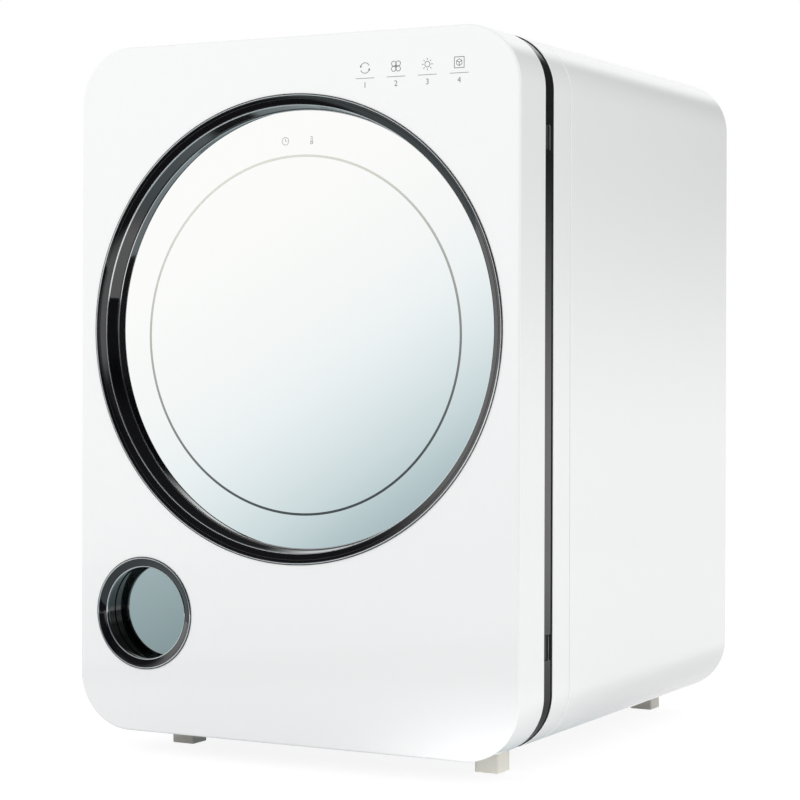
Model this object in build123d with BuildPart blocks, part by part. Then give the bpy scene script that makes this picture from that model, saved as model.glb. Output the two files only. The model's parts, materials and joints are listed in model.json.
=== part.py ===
from build123d import *
import math
import os

# A countertop UV sterilizer and dryer for baby bottles. Millimetres, +X to the viewer's right,
# +Y into the depth, +Z up. The origin is on the surface it stands on, at the middle of its width
# and depth.

os.makedirs("parts", exist_ok=True)

# Overall size
width = 306.0
body_height = 428.0
depth = 346.0
foot_height = 15.0
corner_radius = 36.0

# Lengths along the depth, from the front to the back
trim_stand = 0.8
door_depth = 35.0
band_depth = 11.2
door_gap = 1.0
bezel_depth = 24.0
seam_gap = 0.5
rear_recess = 4.0

# Wall thicknesses
door_wall = 3.0
shell_wall = 2.5
bezel_wall = 4.2
panel_wall = 3.0
sheet = 1.2

# Edge roundings
door_edge_radius = 2.6
shell_edge_radius = 2.2

# Window in the door: the margins round its bright ring, then the steps from one edge to the next
window_side = 10.8
window_top = 34.8
window_below = 108.8
bright_width = 1.2
barrel_step = 3.2
sight_step = 3.6
glass_lap = 1.2
glass_setback = 12.5
glass_thickness = 4.0
retainer_lap = 6.6
retainer_reach = 7.5
retainer_flange = 2.5
retainer_gap = 3.5
retainer_count = 8

# Round finger pull in the door
handle_side = 48.0
handle_rise = 74.0
handle_radius = 35.1
handle_rim = 6.6
handle_bright_width = 1.0
handle_barrel_step = 2.5
handle_undercut = 2.7
handle_setback = 13.5
disc_thickness = 1.5

# Frame behind the door, door liner and seal
band_inset = 0.8
band_width = 14.0
band_chamfer = 0.8
liner_flange = 2.5
liner_rise = 7.7
liner_wall = 2.5
pane_step = 26.0
pane_lap = 3.5
pane_thickness = 3.0
gasket_inset = 3.9
gasket_strip = 6.0

# Hinge at the right edge
hinge_inset = 4.6
hinge_setback = 4.0
hinge_end = 64.0
pin_radius = 1.6
eye_radius = 3.6
eye_height = 14.0
bush_radius = 2.8
bush_length = 8.0

# Chamber: the room beside it, over and under it and behind it, then what it holds
side_space = 27.0
end_space = 39.0
rear_space = 77.0
chamber_radius = 16.0
collar_wall = 1.5
rail_width = 6.0
rail_height = 3.0
runner_x = 80.0
tray_height = 14.0
lower_deck = 34.0
upper_deck = 200.0
rack_clearance = 2.8
frame_wire = 4.0
deck_wire = 2.6
cross_wire = 3.0
deck_wires = 14
deck_lift = 0.5
cross_drop = 0.4

# Fan, heater and filter behind the chamber
fan_rise = 115.0
duct_inner = 98.0
duct_wall = 2.5
fan_wall = 3.2
fan_depth = 25.0
blade_gap = 1.5
blade_count = 7
hub_radius = 19.0
shaft_radius = 1.5
filter_step = 1.0
filter_lap = 7.0

# Clearances
fit_gap = 0.2
slide_gap = 0.3
running_gap = 0.05

# Screws
screw_radius = 1.45
head_radius = 3.0
head_height = 2.0

# Stations worked out from the lengths above
front_y = -depth / 2
face_y = front_y + trim_stand
door_back_y = face_y + door_depth
band_back_y = door_back_y + band_depth
bezel_y = band_back_y + door_gap
bezel_back_y = bezel_y + bezel_depth
shell_y = bezel_back_y + seam_gap
back_y = depth / 2
panel_back_y = back_y - rear_recess
panel_y = panel_back_y - panel_wall
liner_front_y = bezel_y + panel_wall
chamber_back_y = panel_y - rear_space
glass_y = face_y + glass_setback
liner_rear_y = door_back_y + liner_rise
mid_z = foot_height + body_height / 2
top_z = foot_height + body_height
chamber_floor_z = foot_height + end_space
chamber_top_z = top_z - end_space
fan_z = chamber_floor_z + fan_rise
hinge_x = width / 2 - hinge_inset
hinge_y = door_back_y + hinge_setback
handle_x = handle_side - width / 2
handle_z = foot_height + handle_rise

# Sizes that follow from the values above
window_radius = min(width - 2 * window_side, body_height - window_top - window_below) / 2
window_z = top_z - window_top - window_radius
barrel_radius = window_radius - barrel_step
sight_radius = barrel_radius - sight_step
glass_radius = sight_radius + glass_lap
retainer_bore = glass_radius - retainer_lap
retainer_radius = barrel_radius + retainer_reach
pane_opening = retainer_bore - pane_step
pane_radius = pane_opening + pane_lap
handle_opening = handle_radius - handle_rim
handle_barrel_radius = handle_radius - handle_barrel_step
chamber_width = width - 2 * side_space
chamber_height = chamber_top_z - chamber_floor_z
fan_size = duct_inner - 2 * slide_gap
fan_bore = fan_size / 2 - fan_wall
blade_radius = fan_bore - blade_gap
filter_size = duct_inner - 2 * filter_step
filter_plate = filter_size + 2 * filter_lap


def facing(y, x=0.0, z=mid_z):
    """A sketch plane that looks at the viewer: local x is X and local y is Z."""
    return Plane(origin=(x, y, z), x_dir=(1, 0, 0), z_dir=(0, -1, 0))


def slab(y_from, y_to, w, h, r, mode=Mode.ADD, x=0.0, z=mid_z):
    """A rounded rectangle in XZ, from one station of the depth to another."""
    with BuildSketch(facing(y_from, x, z)) as outline:
        RectangleRounded(w, h, r)
    extrude(outline.sketch, amount=-(y_to - y_from), mode=mode)


def disc(y_from, y_to, r, mode=Mode.ADD, x=0.0, z=window_z):
    """A round slice about an axis along the depth."""
    with BuildSketch(facing(y_from, x, z)) as outline:
        Circle(r)
    extrude(outline.sketch, amount=-(y_to - y_from), mode=mode)


def turned(points, x, z, mode=Mode.ADD):
    """A ring turned about an axis along the depth, from (radius, y) corners."""
    plane = Plane(origin=(x, 0, z), x_dir=(1, 0, 0), z_dir=(0, 0, 1))
    with BuildSketch(plane) as outline:
        with BuildLine():
            Polyline(*points, close=True)
        make_face()
    revolve(outline.sketch, axis=Axis((x, 0, z), (0, 1, 0)), mode=mode)


def block(x_span, y_span, z_span, mode=Mode.ADD):
    """A straight block given by its two ends on each axis."""
    spans = (x_span, y_span, z_span)
    centre = [(low + high) / 2 for low, high in spans]
    with Locations(tuple(centre)):
        Box(*[high - low for low, high in spans], mode=mode)


def save(piece, name):
    piece.part.label = name
    export_step(piece.part, f"parts/{name}.step")


# Door screw posts: on the line of the frame behind the door
band_mid = band_inset + band_width / 2
corner_centre_x = width / 2 - corner_radius
corner_centre_z = body_height / 2 - corner_radius
corner_step = (corner_radius - band_mid) * math.sqrt(0.5)
post_x = corner_centre_x + corner_step
post_z = corner_centre_z + corner_step
side_post_drop = 60.0
door_post_points = [
    (-post_x, post_z),
    (post_x, post_z),
    (-post_x, -post_z),
    (post_x, -post_z),
    (-(width / 2 - band_mid), -side_post_drop),
    (width / 2 - band_mid, -side_post_drop),
    (0.0, body_height / 2 - band_mid),
    (0.0, -(body_height / 2 - band_mid)),
]
post_radius = 3.5
post_hole_depth = 12.0
retainer_y = glass_y + glass_thickness
retainer_flange_y = retainer_y + retainer_gap
retainer_hole_depth = 8.0
retainer_post_circle = (barrel_radius + fit_gap + retainer_radius) / 2 + 0.6
retainer_post_radius = 2.8
retainer_start = 180.0 / retainer_count
liner_flange_y = door_back_y - liner_flange

# Touch keys: four in a row at the upper right of the door
key_side = 38.6
key_drop = 22.0
key_pitch = 20.8
key_count = 4
key_row_x = width / 2 - key_side - key_pitch * (key_count - 1) / 2
key_z = top_z - key_drop
touch_gap = 5.0
touch_board_size = (key_pitch * key_count + 5.0, 26.0)
board_thickness = 1.6
touch_board_y = face_y + door_wall + touch_gap

# Door front moulding: one white shell with soft front edges, a hole for the window and one for
# the finger pull, screw posts for the frame behind it and for the ring that holds the glass
with BuildPart() as door_shell:
    with BuildSketch(facing(face_y)):
        RectangleRounded(width, body_height, corner_radius)
    extrude(amount=-door_depth)
    fillet(door_shell.faces().sort_by(Axis.Y)[0].edges(), door_edge_radius)
    with BuildSketch(facing(door_back_y)):
        RectangleRounded(width - 2 * door_wall, body_height - 2 * door_wall, corner_radius - door_wall)
    extrude(amount=door_depth - door_wall, mode=Mode.SUBTRACT)
    disc(face_y, face_y + door_wall, barrel_radius + fit_gap, Mode.SUBTRACT)
    handle_hole = handle_barrel_radius + fit_gap
    disc(face_y, face_y + door_wall, handle_hole, Mode.SUBTRACT, handle_x, handle_z)
    with BuildSketch(facing(face_y + door_wall)):
        with Locations(*door_post_points):
            Circle(post_radius)
    extrude(amount=-(liner_flange_y - face_y - door_wall))
    with BuildSketch(facing(liner_flange_y)):
        with Locations(*door_post_points):
            Circle(screw_radius + running_gap)
    extrude(amount=post_hole_depth, mode=Mode.SUBTRACT)
    with BuildSketch(facing(face_y + door_wall, 0, window_z)):
        with PolarLocations(retainer_post_circle, retainer_count, retainer_start):
            Circle(retainer_post_radius)
    extrude(amount=-(retainer_flange_y - face_y - door_wall))
    with BuildSketch(facing(retainer_flange_y, 0, window_z)):
        with PolarLocations(retainer_post_circle, retainer_count, retainer_start):
            Circle(screw_radius + running_gap)
    extrude(amount=retainer_hole_depth, mode=Mode.SUBTRACT)
    with BuildSketch(facing(face_y + door_wall, key_row_x, key_z)):
        with GridLocations(touch_board_size[0] - 8, touch_board_size[1] - 6, 2, 2):
            Circle(2.2)
    extrude(amount=-touch_gap)
save(door_shell, "door_shell")

# Window ring: a glossy collar whose flange lies on the door and whose bevel runs down to the glass
with BuildPart() as window_trim_ring:
    flange_radius = window_radius - bright_width
    seat_radius = glass_radius + fit_gap
    turned(
        [
            (flange_radius, face_y),
            (flange_radius, face_y - trim_stand + 0.3),
            (flange_radius - 0.7, face_y - trim_stand),
            (sight_radius + 0.6, face_y + 1.0),
            (sight_radius, face_y + 1.8),
            (sight_radius - 1.4, glass_y - 0.8),
            (sight_radius - 1.9, glass_y),
            (seat_radius, glass_y),
            (seat_radius, retainer_flange_y),
            (barrel_radius, retainer_flange_y),
            (barrel_radius, face_y),
        ],
        0,
        window_z,
    )
save(window_trim_ring, "window_trim_ring")

# Thin bright lip round the window ring
with BuildPart() as window_bright_ring:
    turned(
        [
            (flange_radius, face_y),
            (flange_radius, face_y - trim_stand + 0.2),
            (flange_radius + 0.3, face_y - trim_stand),
            (window_radius - 0.4, face_y - trim_stand),
            (window_radius, face_y - trim_stand + 0.4),
            (window_radius, face_y),
        ],
        0,
        window_z,
    )
save(window_bright_ring, "window_bright_ring")

# Round half-mirror pane
with BuildPart() as window_glass:
    disc(glass_y, glass_y + glass_thickness, glass_radius)
save(window_glass, "window_glass")

# Ring that clamps the pane against the window ring from behind
with BuildPart() as glass_retainer:
    turned(
        [
            (retainer_bore, retainer_y),
            (glass_radius, retainer_y),
            (glass_radius, retainer_flange_y),
            (retainer_radius, retainer_flange_y),
            (retainer_radius, retainer_flange_y + retainer_flange),
            (retainer_bore, retainer_flange_y + retainer_flange),
        ],
        0,
        window_z,
    )
    with BuildSketch(facing(retainer_flange_y, 0, window_z)):
        with PolarLocations(retainer_post_circle, retainer_count, retainer_start):
            Circle(screw_radius + running_gap)
    extrude(amount=-retainer_flange, mode=Mode.SUBTRACT)
save(glass_retainer, "glass_retainer")

with BuildPart() as retainer_screws:
    retainer_back_y = retainer_flange_y + retainer_flange
    with BuildSketch(facing(retainer_back_y, 0, window_z)):
        with PolarLocations(retainer_post_circle, retainer_count, retainer_start):
            Circle(head_radius - 0.4)
    extrude(amount=-head_height)
    with BuildSketch(facing(retainer_back_y, 0, window_z)):
        with PolarLocations(retainer_post_circle, retainer_count, retainer_start):
            Circle(screw_radius)
    extrude(amount=retainer_flange + retainer_hole_depth - 1.0)
save(retainer_screws, "retainer_screws")

# Finger pull: a black ring with a sloping face, a bright lip, a cup with an undercut for the
# fingertips and a mirror disc at its bottom
handle_flange = handle_radius - handle_bright_width
cup_radius = handle_opening + handle_undercut
cup_y = face_y + door_wall + 0.4
disc_y = face_y + handle_setback
disc_back_y = disc_y + disc_thickness
with BuildPart() as handle_trim_ring:
    turned(
        [
            (handle_flange, face_y),
            (handle_flange, face_y - trim_stand + 0.3),
            (handle_flange - 0.6, face_y - trim_stand),
            (handle_opening + 0.9, face_y + 0.4),
            (handle_opening, face_y + 1.2),
            (handle_opening, cup_y),
            (handle_barrel_radius, cup_y),
            (handle_barrel_radius, face_y),
        ],
        handle_x,
        handle_z,
    )
save(handle_trim_ring, "handle_trim_ring")

with BuildPart() as handle_bright_ring:
    turned(
        [
            (handle_flange, face_y),
            (handle_flange, face_y - trim_stand + 0.2),
            (handle_flange + 0.3, face_y - trim_stand),
            (handle_radius - 0.3, face_y - trim_stand),
            (handle_radius, face_y - trim_stand + 0.3),
            (handle_radius, face_y),
        ],
        handle_x,
        handle_z,
    )
save(handle_bright_ring, "handle_bright_ring")

with BuildPart() as handle_cup:
    cup_back_y = disc_back_y + 2.0
    turned(
        [
            (cup_radius, cup_y),
            (handle_barrel_radius, cup_y),
            (handle_barrel_radius + 5.5, cup_y),
            (handle_barrel_radius + 5.5, cup_y + 2.0),
            (cup_radius + 2.0, cup_y + 2.0),
            (cup_radius + 2.0, cup_back_y),
            (0, cup_back_y),
            (0, disc_back_y),
            (cup_radius, disc_back_y),
        ],
        handle_x,
        handle_z,
    )
save(handle_cup, "handle_cup")

with BuildPart() as handle_disc:
    disc(disc_y, disc_back_y, cup_radius - fit_gap, x=handle_x, z=handle_z)
save(handle_disc, "handle_disc")

# Touch keys behind the door front: a board on four posts and a sensing pad under each mark
with BuildPart() as touch_board:
    with BuildSketch(facing(touch_board_y, key_row_x, key_z)):
        RectangleRounded(*touch_board_size, 2)
    extrude(amount=-board_thickness)
    with BuildSketch(facing(touch_board_y + board_thickness, key_row_x, key_z)):
        with GridLocations(key_pitch, 10, key_count, 1):
            Rectangle(6, 6)
    extrude(amount=-1.4)
save(touch_board, "touch_board")

with BuildPart() as touch_pads:
    with BuildSketch(facing(face_y + door_wall, key_row_x, key_z)):
        with GridLocations(key_pitch, 10, key_count, 1):
            Circle(6)
    extrude(amount=-touch_gap)
save(touch_pads, "touch_pads")

# Time and temperature display behind the top of the glass
display_width = 60.0
display_height = 18.0
display_z = window_z + (pane_opening + retainer_bore) / 2 - 2.0
display_board_margin = (5.0, 9.0)
with BuildPart() as display_module:
    display_top = display_z + display_height / 2
    display_bottom = display_z - display_height / 2
    half = display_width / 2
    block((-half, half), (retainer_y + slide_gap, retainer_back_y), (display_bottom, display_top))
    fillet(display_module.edges().filter_by(Axis.Y), 1.5)
    for digit in range(4):
        digit_x = -half + display_width * (digit + 0.5) / 4
        with BuildSketch(facing(retainer_y + slide_gap, digit_x, display_z)):
            Rectangle(9, 13)
        extrude(amount=-0.8, mode=Mode.SUBTRACT)
save(display_module, "display_module")

with BuildPart() as display_board:
    with BuildSketch(facing(retainer_back_y, 0, display_z + 4.0)):
        board_w = display_width + 2 * display_board_margin[0]
        board_h = display_height + 2 * display_board_margin[1]
        RectangleRounded(board_w, board_h, 2)
    extrude(amount=-board_thickness)
    with BuildSketch(facing(retainer_back_y + board_thickness, 0, display_z)):
        with GridLocations(16, 8, 3, 1):
            Rectangle(8, 6)
    extrude(amount=-1.6)
save(display_board, "display_board")

# Glossy black frame that closes the door shell: it carries the hinge bushes and the magnets
band_w = width - 2 * band_inset
band_h = body_height - 2 * band_inset
band_r = corner_radius - band_inset
bore_w = band_w - 2 * band_width
bore_h = band_h - 2 * band_width
bore_r = band_r - band_width
magnet_size = (8.0, 4.0, 20.0)
magnet_x = -(width / 2 - band_mid)
magnet_spread = 95.0
magnet_rises = (-magnet_spread, magnet_spread)
hinge_levels = (foot_height + hinge_end, top_z - hinge_end)
notch_half = eye_height / 2 + 0.5
with BuildPart() as door_band:
    slab(door_back_y, band_back_y, band_w, band_h, band_r)
    rim = door_band.faces().sort_by(Axis.Y)
    chamfer(rim[0].edges() + rim[-1].edges(), band_chamfer)
    slab(door_back_y, band_back_y, bore_w, bore_h, bore_r, Mode.SUBTRACT)
    for level in hinge_levels:
        notch_x = (hinge_x - eye_radius - 0.8, width / 2)
        block(notch_x, (door_back_y, band_back_y), (level - notch_half, level + notch_half), Mode.SUBTRACT)
        with Locations((hinge_x, hinge_y, level)):
            Cylinder(bush_radius, 2 * (notch_half + bush_length), mode=Mode.SUBTRACT)
    for rise in magnet_rises:
        with Locations((magnet_x, band_back_y - magnet_size[1] / 2, mid_z + rise)):
            Box(*magnet_size, mode=Mode.SUBTRACT)
    with BuildSketch(facing(door_back_y)):
        with Locations(*door_post_points):
            Circle(screw_radius + running_gap)
    extrude(amount=-band_depth, mode=Mode.SUBTRACT)
    with BuildSketch(facing(band_back_y)):
        with Locations(*door_post_points):
            Circle(head_radius + fit_gap)
    extrude(amount=head_height + 0.6, mode=Mode.SUBTRACT)
save(door_band, "door_band")

with BuildPart() as band_screws:
    head_seat_y = band_back_y - head_height - 0.6
    with BuildSketch(facing(head_seat_y)):
        with Locations(*door_post_points):
            Circle(head_radius)
    extrude(amount=-head_height)
    with BuildSketch(facing(head_seat_y)):
        with Locations(*door_post_points):
            Circle(screw_radius)
    extrude(amount=band_depth + liner_flange + post_hole_depth / 2)
save(band_screws, "band_screws")

with BuildPart() as door_magnets:
    for rise in magnet_rises:
        with Locations((magnet_x, band_back_y - magnet_size[1] / 2, mid_z + rise)):
            Box(*magnet_size)
save(door_magnets, "door_magnets")

with BuildPart() as hinge_bushes:
    for level in hinge_levels:
        for side in (-1, 1):
            with Locations((hinge_x, hinge_y, level + side * (notch_half + bush_length / 2))):
                Cylinder(bush_radius, bush_length)
                Cylinder(pin_radius + running_gap, bush_length, mode=Mode.SUBTRACT)
save(hinge_bushes, "hinge_bushes")

# Inner door panel: a flange clamped by the frame, a raised plateau that faces the chamber and a
# round sight hole
plateau_w = bore_w - 2 * slide_gap
plateau_h = bore_h - 2 * slide_gap
plateau_r = bore_r - slide_gap
with BuildPart() as door_inner_liner:
    flange_w = width - 2 * (door_wall + slide_gap)
    flange_h = body_height - 2 * (door_wall + slide_gap)
    slab(liner_flange_y, door_back_y, flange_w, flange_h, corner_radius - door_wall - slide_gap)
    slab(liner_flange_y, liner_rear_y, plateau_w, plateau_h, plateau_r)
    plateau_face = door_inner_liner.faces().sort_by(Axis.Y)[-1]
    fillet(plateau_face.edges(), 1.5)
    hollow = (plateau_w - 2 * liner_wall, plateau_h - 2 * liner_wall, plateau_r - liner_wall)
    slab(liner_flange_y, liner_rear_y - liner_wall, *hollow, Mode.SUBTRACT)
    disc(liner_rear_y - liner_wall, liner_rear_y, pane_opening, Mode.SUBTRACT)
    with BuildSketch(facing(liner_flange_y)):
        with Locations(*door_post_points):
            Circle(screw_radius + running_gap)
    extrude(amount=-liner_flange, mode=Mode.SUBTRACT)
save(door_inner_liner, "door_inner_liner")

with BuildPart() as inner_window:
    pane_y = liner_rear_y - liner_wall - pane_thickness
    disc(pane_y, pane_y + pane_thickness, pane_radius)
save(inner_window, "inner_window")

# Silicone seal on the plateau: it meets the cabinet's front with a hair of air at rest
with BuildPart() as door_gasket:
    gasket_back_y = bezel_y - slide_gap
    gasket_width = plateau_w - 2 * gasket_inset
    gasket_height = plateau_h - 2 * gasket_inset
    gasket_radius = plateau_r - gasket_inset
    slab(liner_rear_y, gasket_back_y, gasket_width, gasket_height, gasket_radius)
    fillet(door_gasket.faces().sort_by(Axis.Y)[-1].edges(), 1.6)
    seal_bore = (gasket_width - 2 * gasket_strip, gasket_height - 2 * gasket_strip)
    slab(liner_rear_y, gasket_back_y, *seal_bore, gasket_radius - gasket_strip, Mode.SUBTRACT)
save(door_gasket, "door_gasket")

# Cabinet front: a white frame with the chamber opening, a collar into the chamber, a tongue
# that bridges the seam to the shell, and the slots that the hinge brackets reach through
collar_w = chamber_width - 2 * slide_gap
collar_h = chamber_height - 2 * slide_gap
collar_r = chamber_radius - slide_gap
mouth_w = collar_w - 2 * collar_wall
mouth_h = collar_h - 2 * collar_wall
mouth_r = collar_r - collar_wall
arm_half = 1.6
tongue_depth = 5.0
collar_depth = 6.0
with BuildPart() as front_bezel:
    slab(bezel_y, bezel_back_y, width, body_height, corner_radius)
    fillet(front_bezel.faces().sort_by(Axis.Y)[0].edges(), 1.5)
    tongue_inset = shell_wall + fit_gap
    tongue = (width - 2 * tongue_inset, body_height - 2 * tongue_inset, corner_radius - tongue_inset)
    slab(bezel_back_y - tongue_depth, bezel_back_y + tongue_depth, *tongue)
    inside = (width - 2 * bezel_wall, body_height - 2 * bezel_wall, corner_radius - bezel_wall)
    slab(liner_front_y, bezel_back_y + tongue_depth, *inside, Mode.SUBTRACT)
    slab(liner_front_y, liner_front_y + collar_depth, collar_w, collar_h, collar_r)
    slab(bezel_y, liner_front_y + collar_depth, mouth_w, mouth_h, mouth_r, Mode.SUBTRACT)
    for level in hinge_levels:
        slot_x = (hinge_x - arm_half - slide_gap, hinge_x + arm_half + slide_gap)
        slot_z = (level - notch_half, level + notch_half)
        block(slot_x, (bezel_y, liner_front_y + 3.0), slot_z, Mode.SUBTRACT)
save(front_bezel, "front_bezel")

# Hinge brackets: a plate behind the cabinet front, an arm through its slot and an eye for the pin
bracket_thickness = 2.5
bracket_width = 13.0
bracket_half = 20.0
bracket_screw_pitch = 28.0
for level, name in zip(hinge_levels, ("hinge_bracket_bottom", "hinge_bracket_top")):
    with BuildPart() as hinge_bracket:
        plate_y = (liner_front_y, liner_front_y + bracket_thickness)
        with BuildSketch(Plane.XY.offset(level - eye_height / 2)):
            with Locations((hinge_x, hinge_y)):
                Circle(eye_radius)
            with Locations((hinge_x, (hinge_y + plate_y[1]) / 2)):
                Rectangle(2 * arm_half, plate_y[1] - hinge_y)
        extrude(amount=eye_height)
        block((hinge_x - bracket_width, hinge_x), plate_y, (level - bracket_half, level + bracket_half))
        with Locations((hinge_x, hinge_y, level)):
            Cylinder(pin_radius + 0.02, eye_height, mode=Mode.SUBTRACT)
        with BuildSketch(facing(plate_y[1], hinge_x - 7.0, level)):
            with GridLocations(1, bracket_screw_pitch, 1, 2):
                Circle(2.6)
        extrude(amount=-1.4)
    save(hinge_bracket, name)

with BuildPart() as hinge_pins:
    for level in hinge_levels:
        with Locations((hinge_x, hinge_y, level)):
            Cylinder(pin_radius, 2 * (notch_half + bush_length) - 2.0)
save(hinge_pins, "hinge_pins")

# Steel plates behind the cabinet front that the door magnets pull on, and the door sensor
catch_x = -(width / 2 - bezel_wall - slide_gap)
catch_half = 12.0
catch_width = 11.0
catch_thickness = 1.5
door_sensor_size = (9.0, 6.0)
with BuildPart() as catch_plates:
    for rise in magnet_rises:
        plate_z = (mid_z + rise - catch_half, mid_z + rise + catch_half)
        plate_y = (liner_front_y, liner_front_y + catch_thickness)
        block((catch_x, catch_x + catch_width), plate_y, plate_z)
save(catch_plates, "catch_plates")

with BuildPart() as door_sensor:
    sensor_z = (mid_z - catch_half, mid_z + catch_half)
    sensor_x = (catch_x, catch_x + door_sensor_size[0])
    block(sensor_x, (liner_front_y, liner_front_y + door_sensor_size[1]), sensor_z)
    fillet(door_sensor.edges().filter_by(Axis.Z), 1.2)
save(door_sensor, "door_sensor")

# Outer shell: one white tube with a soft rear edge and a ledge that the back panel lies on
with BuildPart() as outer_shell:
    slab(shell_y, back_y, width, body_height, corner_radius)
    fillet(outer_shell.faces().sort_by(Axis.Y)[-1].edges(), shell_edge_radius)
    bore = (width - 2 * shell_wall, body_height - 2 * shell_wall, corner_radius - shell_wall)
    slab(shell_y, back_y, *bore, Mode.SUBTRACT)
    ledge_width = 6.0
    ledge = (bore[0] - 2 * ledge_width, bore[1] - 2 * ledge_width, bore[2] - ledge_width)
    slab(panel_y - panel_wall, panel_y, *bore)
    slab(panel_y - panel_wall, panel_y, *ledge, Mode.SUBTRACT)
save(outer_shell, "outer_shell")

# Back panel: louvres, a framed opening for the filter and one for the mains socket
panel = (bore[0] - 2 * slide_gap, bore[1] - 2 * slide_gap, bore[2] - slide_gap)
filter_opening = filter_size + 2 * (slide_gap + fit_gap)
screw_margin = 3.5
panel_screw_end = 64.0
panel_screw_rise = body_height / 2 - panel_screw_end
panel_screw_points = [
    (side * (bore[0] / 2 - screw_margin), z)
    for side in (-1, 1)
    for z in (-panel_screw_rise, 0.0, panel_screw_rise)
]
sleeve_depth = 14.0
socket_side = 53.0
socket_rise = 45.0
socket_x = width / 2 - socket_side
socket_z = foot_height + socket_rise
socket_body = (30.0, 22.0)
louvre_width = 150.0
louvre_height = 3.2
louvre_pitch = 8.4
louvre_count = 9
louvre_drop = 96.0
louvre_z = top_z - louvre_drop
with BuildPart() as rear_cover:
    slab(panel_y, panel_back_y, *panel)
    slab(panel_y - sleeve_depth, panel_y, filter_opening + 4.0, filter_opening + 4.0, 5.0, z=fan_z)
    slab(panel_y - sleeve_depth, panel_back_y, filter_opening, filter_opening, 3.0, Mode.SUBTRACT, z=fan_z)
    with BuildSketch(facing(panel_y, 0, louvre_z)):
        with GridLocations(10, louvre_pitch, 1, louvre_count):
            SlotOverall(louvre_width, louvre_height)
    extrude(amount=-panel_wall, mode=Mode.SUBTRACT)
    slab(panel_y, panel_back_y, *socket_body, 3.0, Mode.SUBTRACT, x=socket_x, z=socket_z)
save(rear_cover, "rear_cover")

with BuildPart() as rear_screws:
    with BuildSketch(facing(panel_back_y)):
        with Locations(*panel_screw_points):
            Circle(head_radius)
    extrude(amount=-head_height)
    fillet(rear_screws.faces().filter_by(Axis.Y).group_by(Axis.Y)[-1].edges(), 0.8)
save(rear_screws, "rear_screws")

# Mains socket: a moulded body with a blind cavity and two contact pins
with BuildPart() as power_inlet:
    cavity_depth = 14.0
    socket_depth = 24.0
    socket_flange = 1.5
    pin_pitch = 12.0
    socket_place = {"x": socket_x, "z": socket_z}
    socket_case = (socket_body[0] - 2 * fit_gap, socket_body[1] - 2 * fit_gap, 2.8)
    socket_front_y = panel_back_y - socket_depth
    socket_back_y = panel_back_y + socket_flange
    slab(socket_front_y, panel_back_y, *socket_case, **socket_place)
    slab(panel_back_y, socket_back_y, socket_body[0] + 6, socket_body[1] + 6, 4.0, **socket_place)
    slab(socket_back_y - cavity_depth, socket_back_y, 20.0, 11.0, 5.0, Mode.SUBTRACT, **socket_place)
    for side in (-1, 1):
        pin_x = socket_x + side * pin_pitch / 2
        disc(socket_back_y - cavity_depth, socket_back_y - 3.0, 1.15, x=pin_x, z=socket_z)
save(power_inlet, "power_inlet")

# Feet: four moulded blocks with a hollow underside, and the screws that hold them
foot_side = 16.0
foot_hollow = 10.0
foot_bore = 4.0
front_foot_inset = 44.5
rear_foot_inset = 56.0
front_foot_setback = 50.0
rear_foot_setback = 5.0
front_foot_x = width / 2 - front_foot_inset
rear_foot_x = width / 2 - rear_foot_inset
front_foot_y = face_y + front_foot_setback + foot_side / 2
rear_foot_y = back_y - rear_foot_setback - foot_side / 2
foot_places = {
    "foot_front_left": (-front_foot_x, front_foot_y),
    "foot_front_right": (front_foot_x, front_foot_y),
    "foot_rear_left": (-rear_foot_x, rear_foot_y),
    "foot_rear_right": (rear_foot_x, rear_foot_y),
}
for name, (foot_x, foot_y) in foot_places.items():
    with BuildPart() as foot:
        with Locations((foot_x, foot_y, foot_height / 2)):
            Box(foot_side, foot_side, foot_height)
        fillet(foot.edges().filter_by(Axis.Z), 1.2)
        fillet(foot.faces().sort_by(Axis.Z)[0].edges(), 0.6)
        with Locations((foot_x, foot_y, foot_hollow / 2)):
            Cylinder(foot_bore, foot_hollow, mode=Mode.SUBTRACT)
    save(foot, name)

with BuildPart() as foot_screws:
    for foot_x, foot_y in foot_places.values():
        with Locations((foot_x, foot_y, foot_hollow - head_height / 2)):
            Cylinder(head_radius, head_height)
save(foot_screws, "foot_screws")

# Chamber: a drawn stainless box with a front flange, an air hole in its back and a slot in its
# top and sides for each lamp
uv_top_end = 36.0
uv_side_end = 28.0
uv_side_length = upper_deck - lower_deck - 2 * uv_side_end
uv_length = {"top": chamber_width - 2 * uv_top_end, "left": uv_side_length, "right": uv_side_length}
uv_slot = 22.0
uv_lead = 4.22
uv_y = (liner_front_y + chamber_back_y) / 2 - uv_lead
uv_side_z = chamber_floor_z + (lower_deck + upper_deck) / 2
half_chamber = chamber_width / 2
uv_places = {
    "top": Plane(origin=(0, uv_y, chamber_top_z + sheet), x_dir=(1, 0, 0), z_dir=(0, 0, 1)),
    "left": Plane(origin=(-half_chamber - sheet, uv_y, uv_side_z), x_dir=(0, 0, 1), z_dir=(-1, 0, 0)),
    "right": Plane(origin=(half_chamber + sheet, uv_y, uv_side_z), x_dir=(0, 0, 1), z_dir=(1, 0, 0)),
}
air_hole_radius = fan_bore - 2.5
grille_radius = air_hole_radius + 5.0
liner_rim = 7.0
vent_length = 120.0
vent_height = 4.0
vent_pitch = 9.0
vent_count = 3
vent_drop = 30.0
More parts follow.
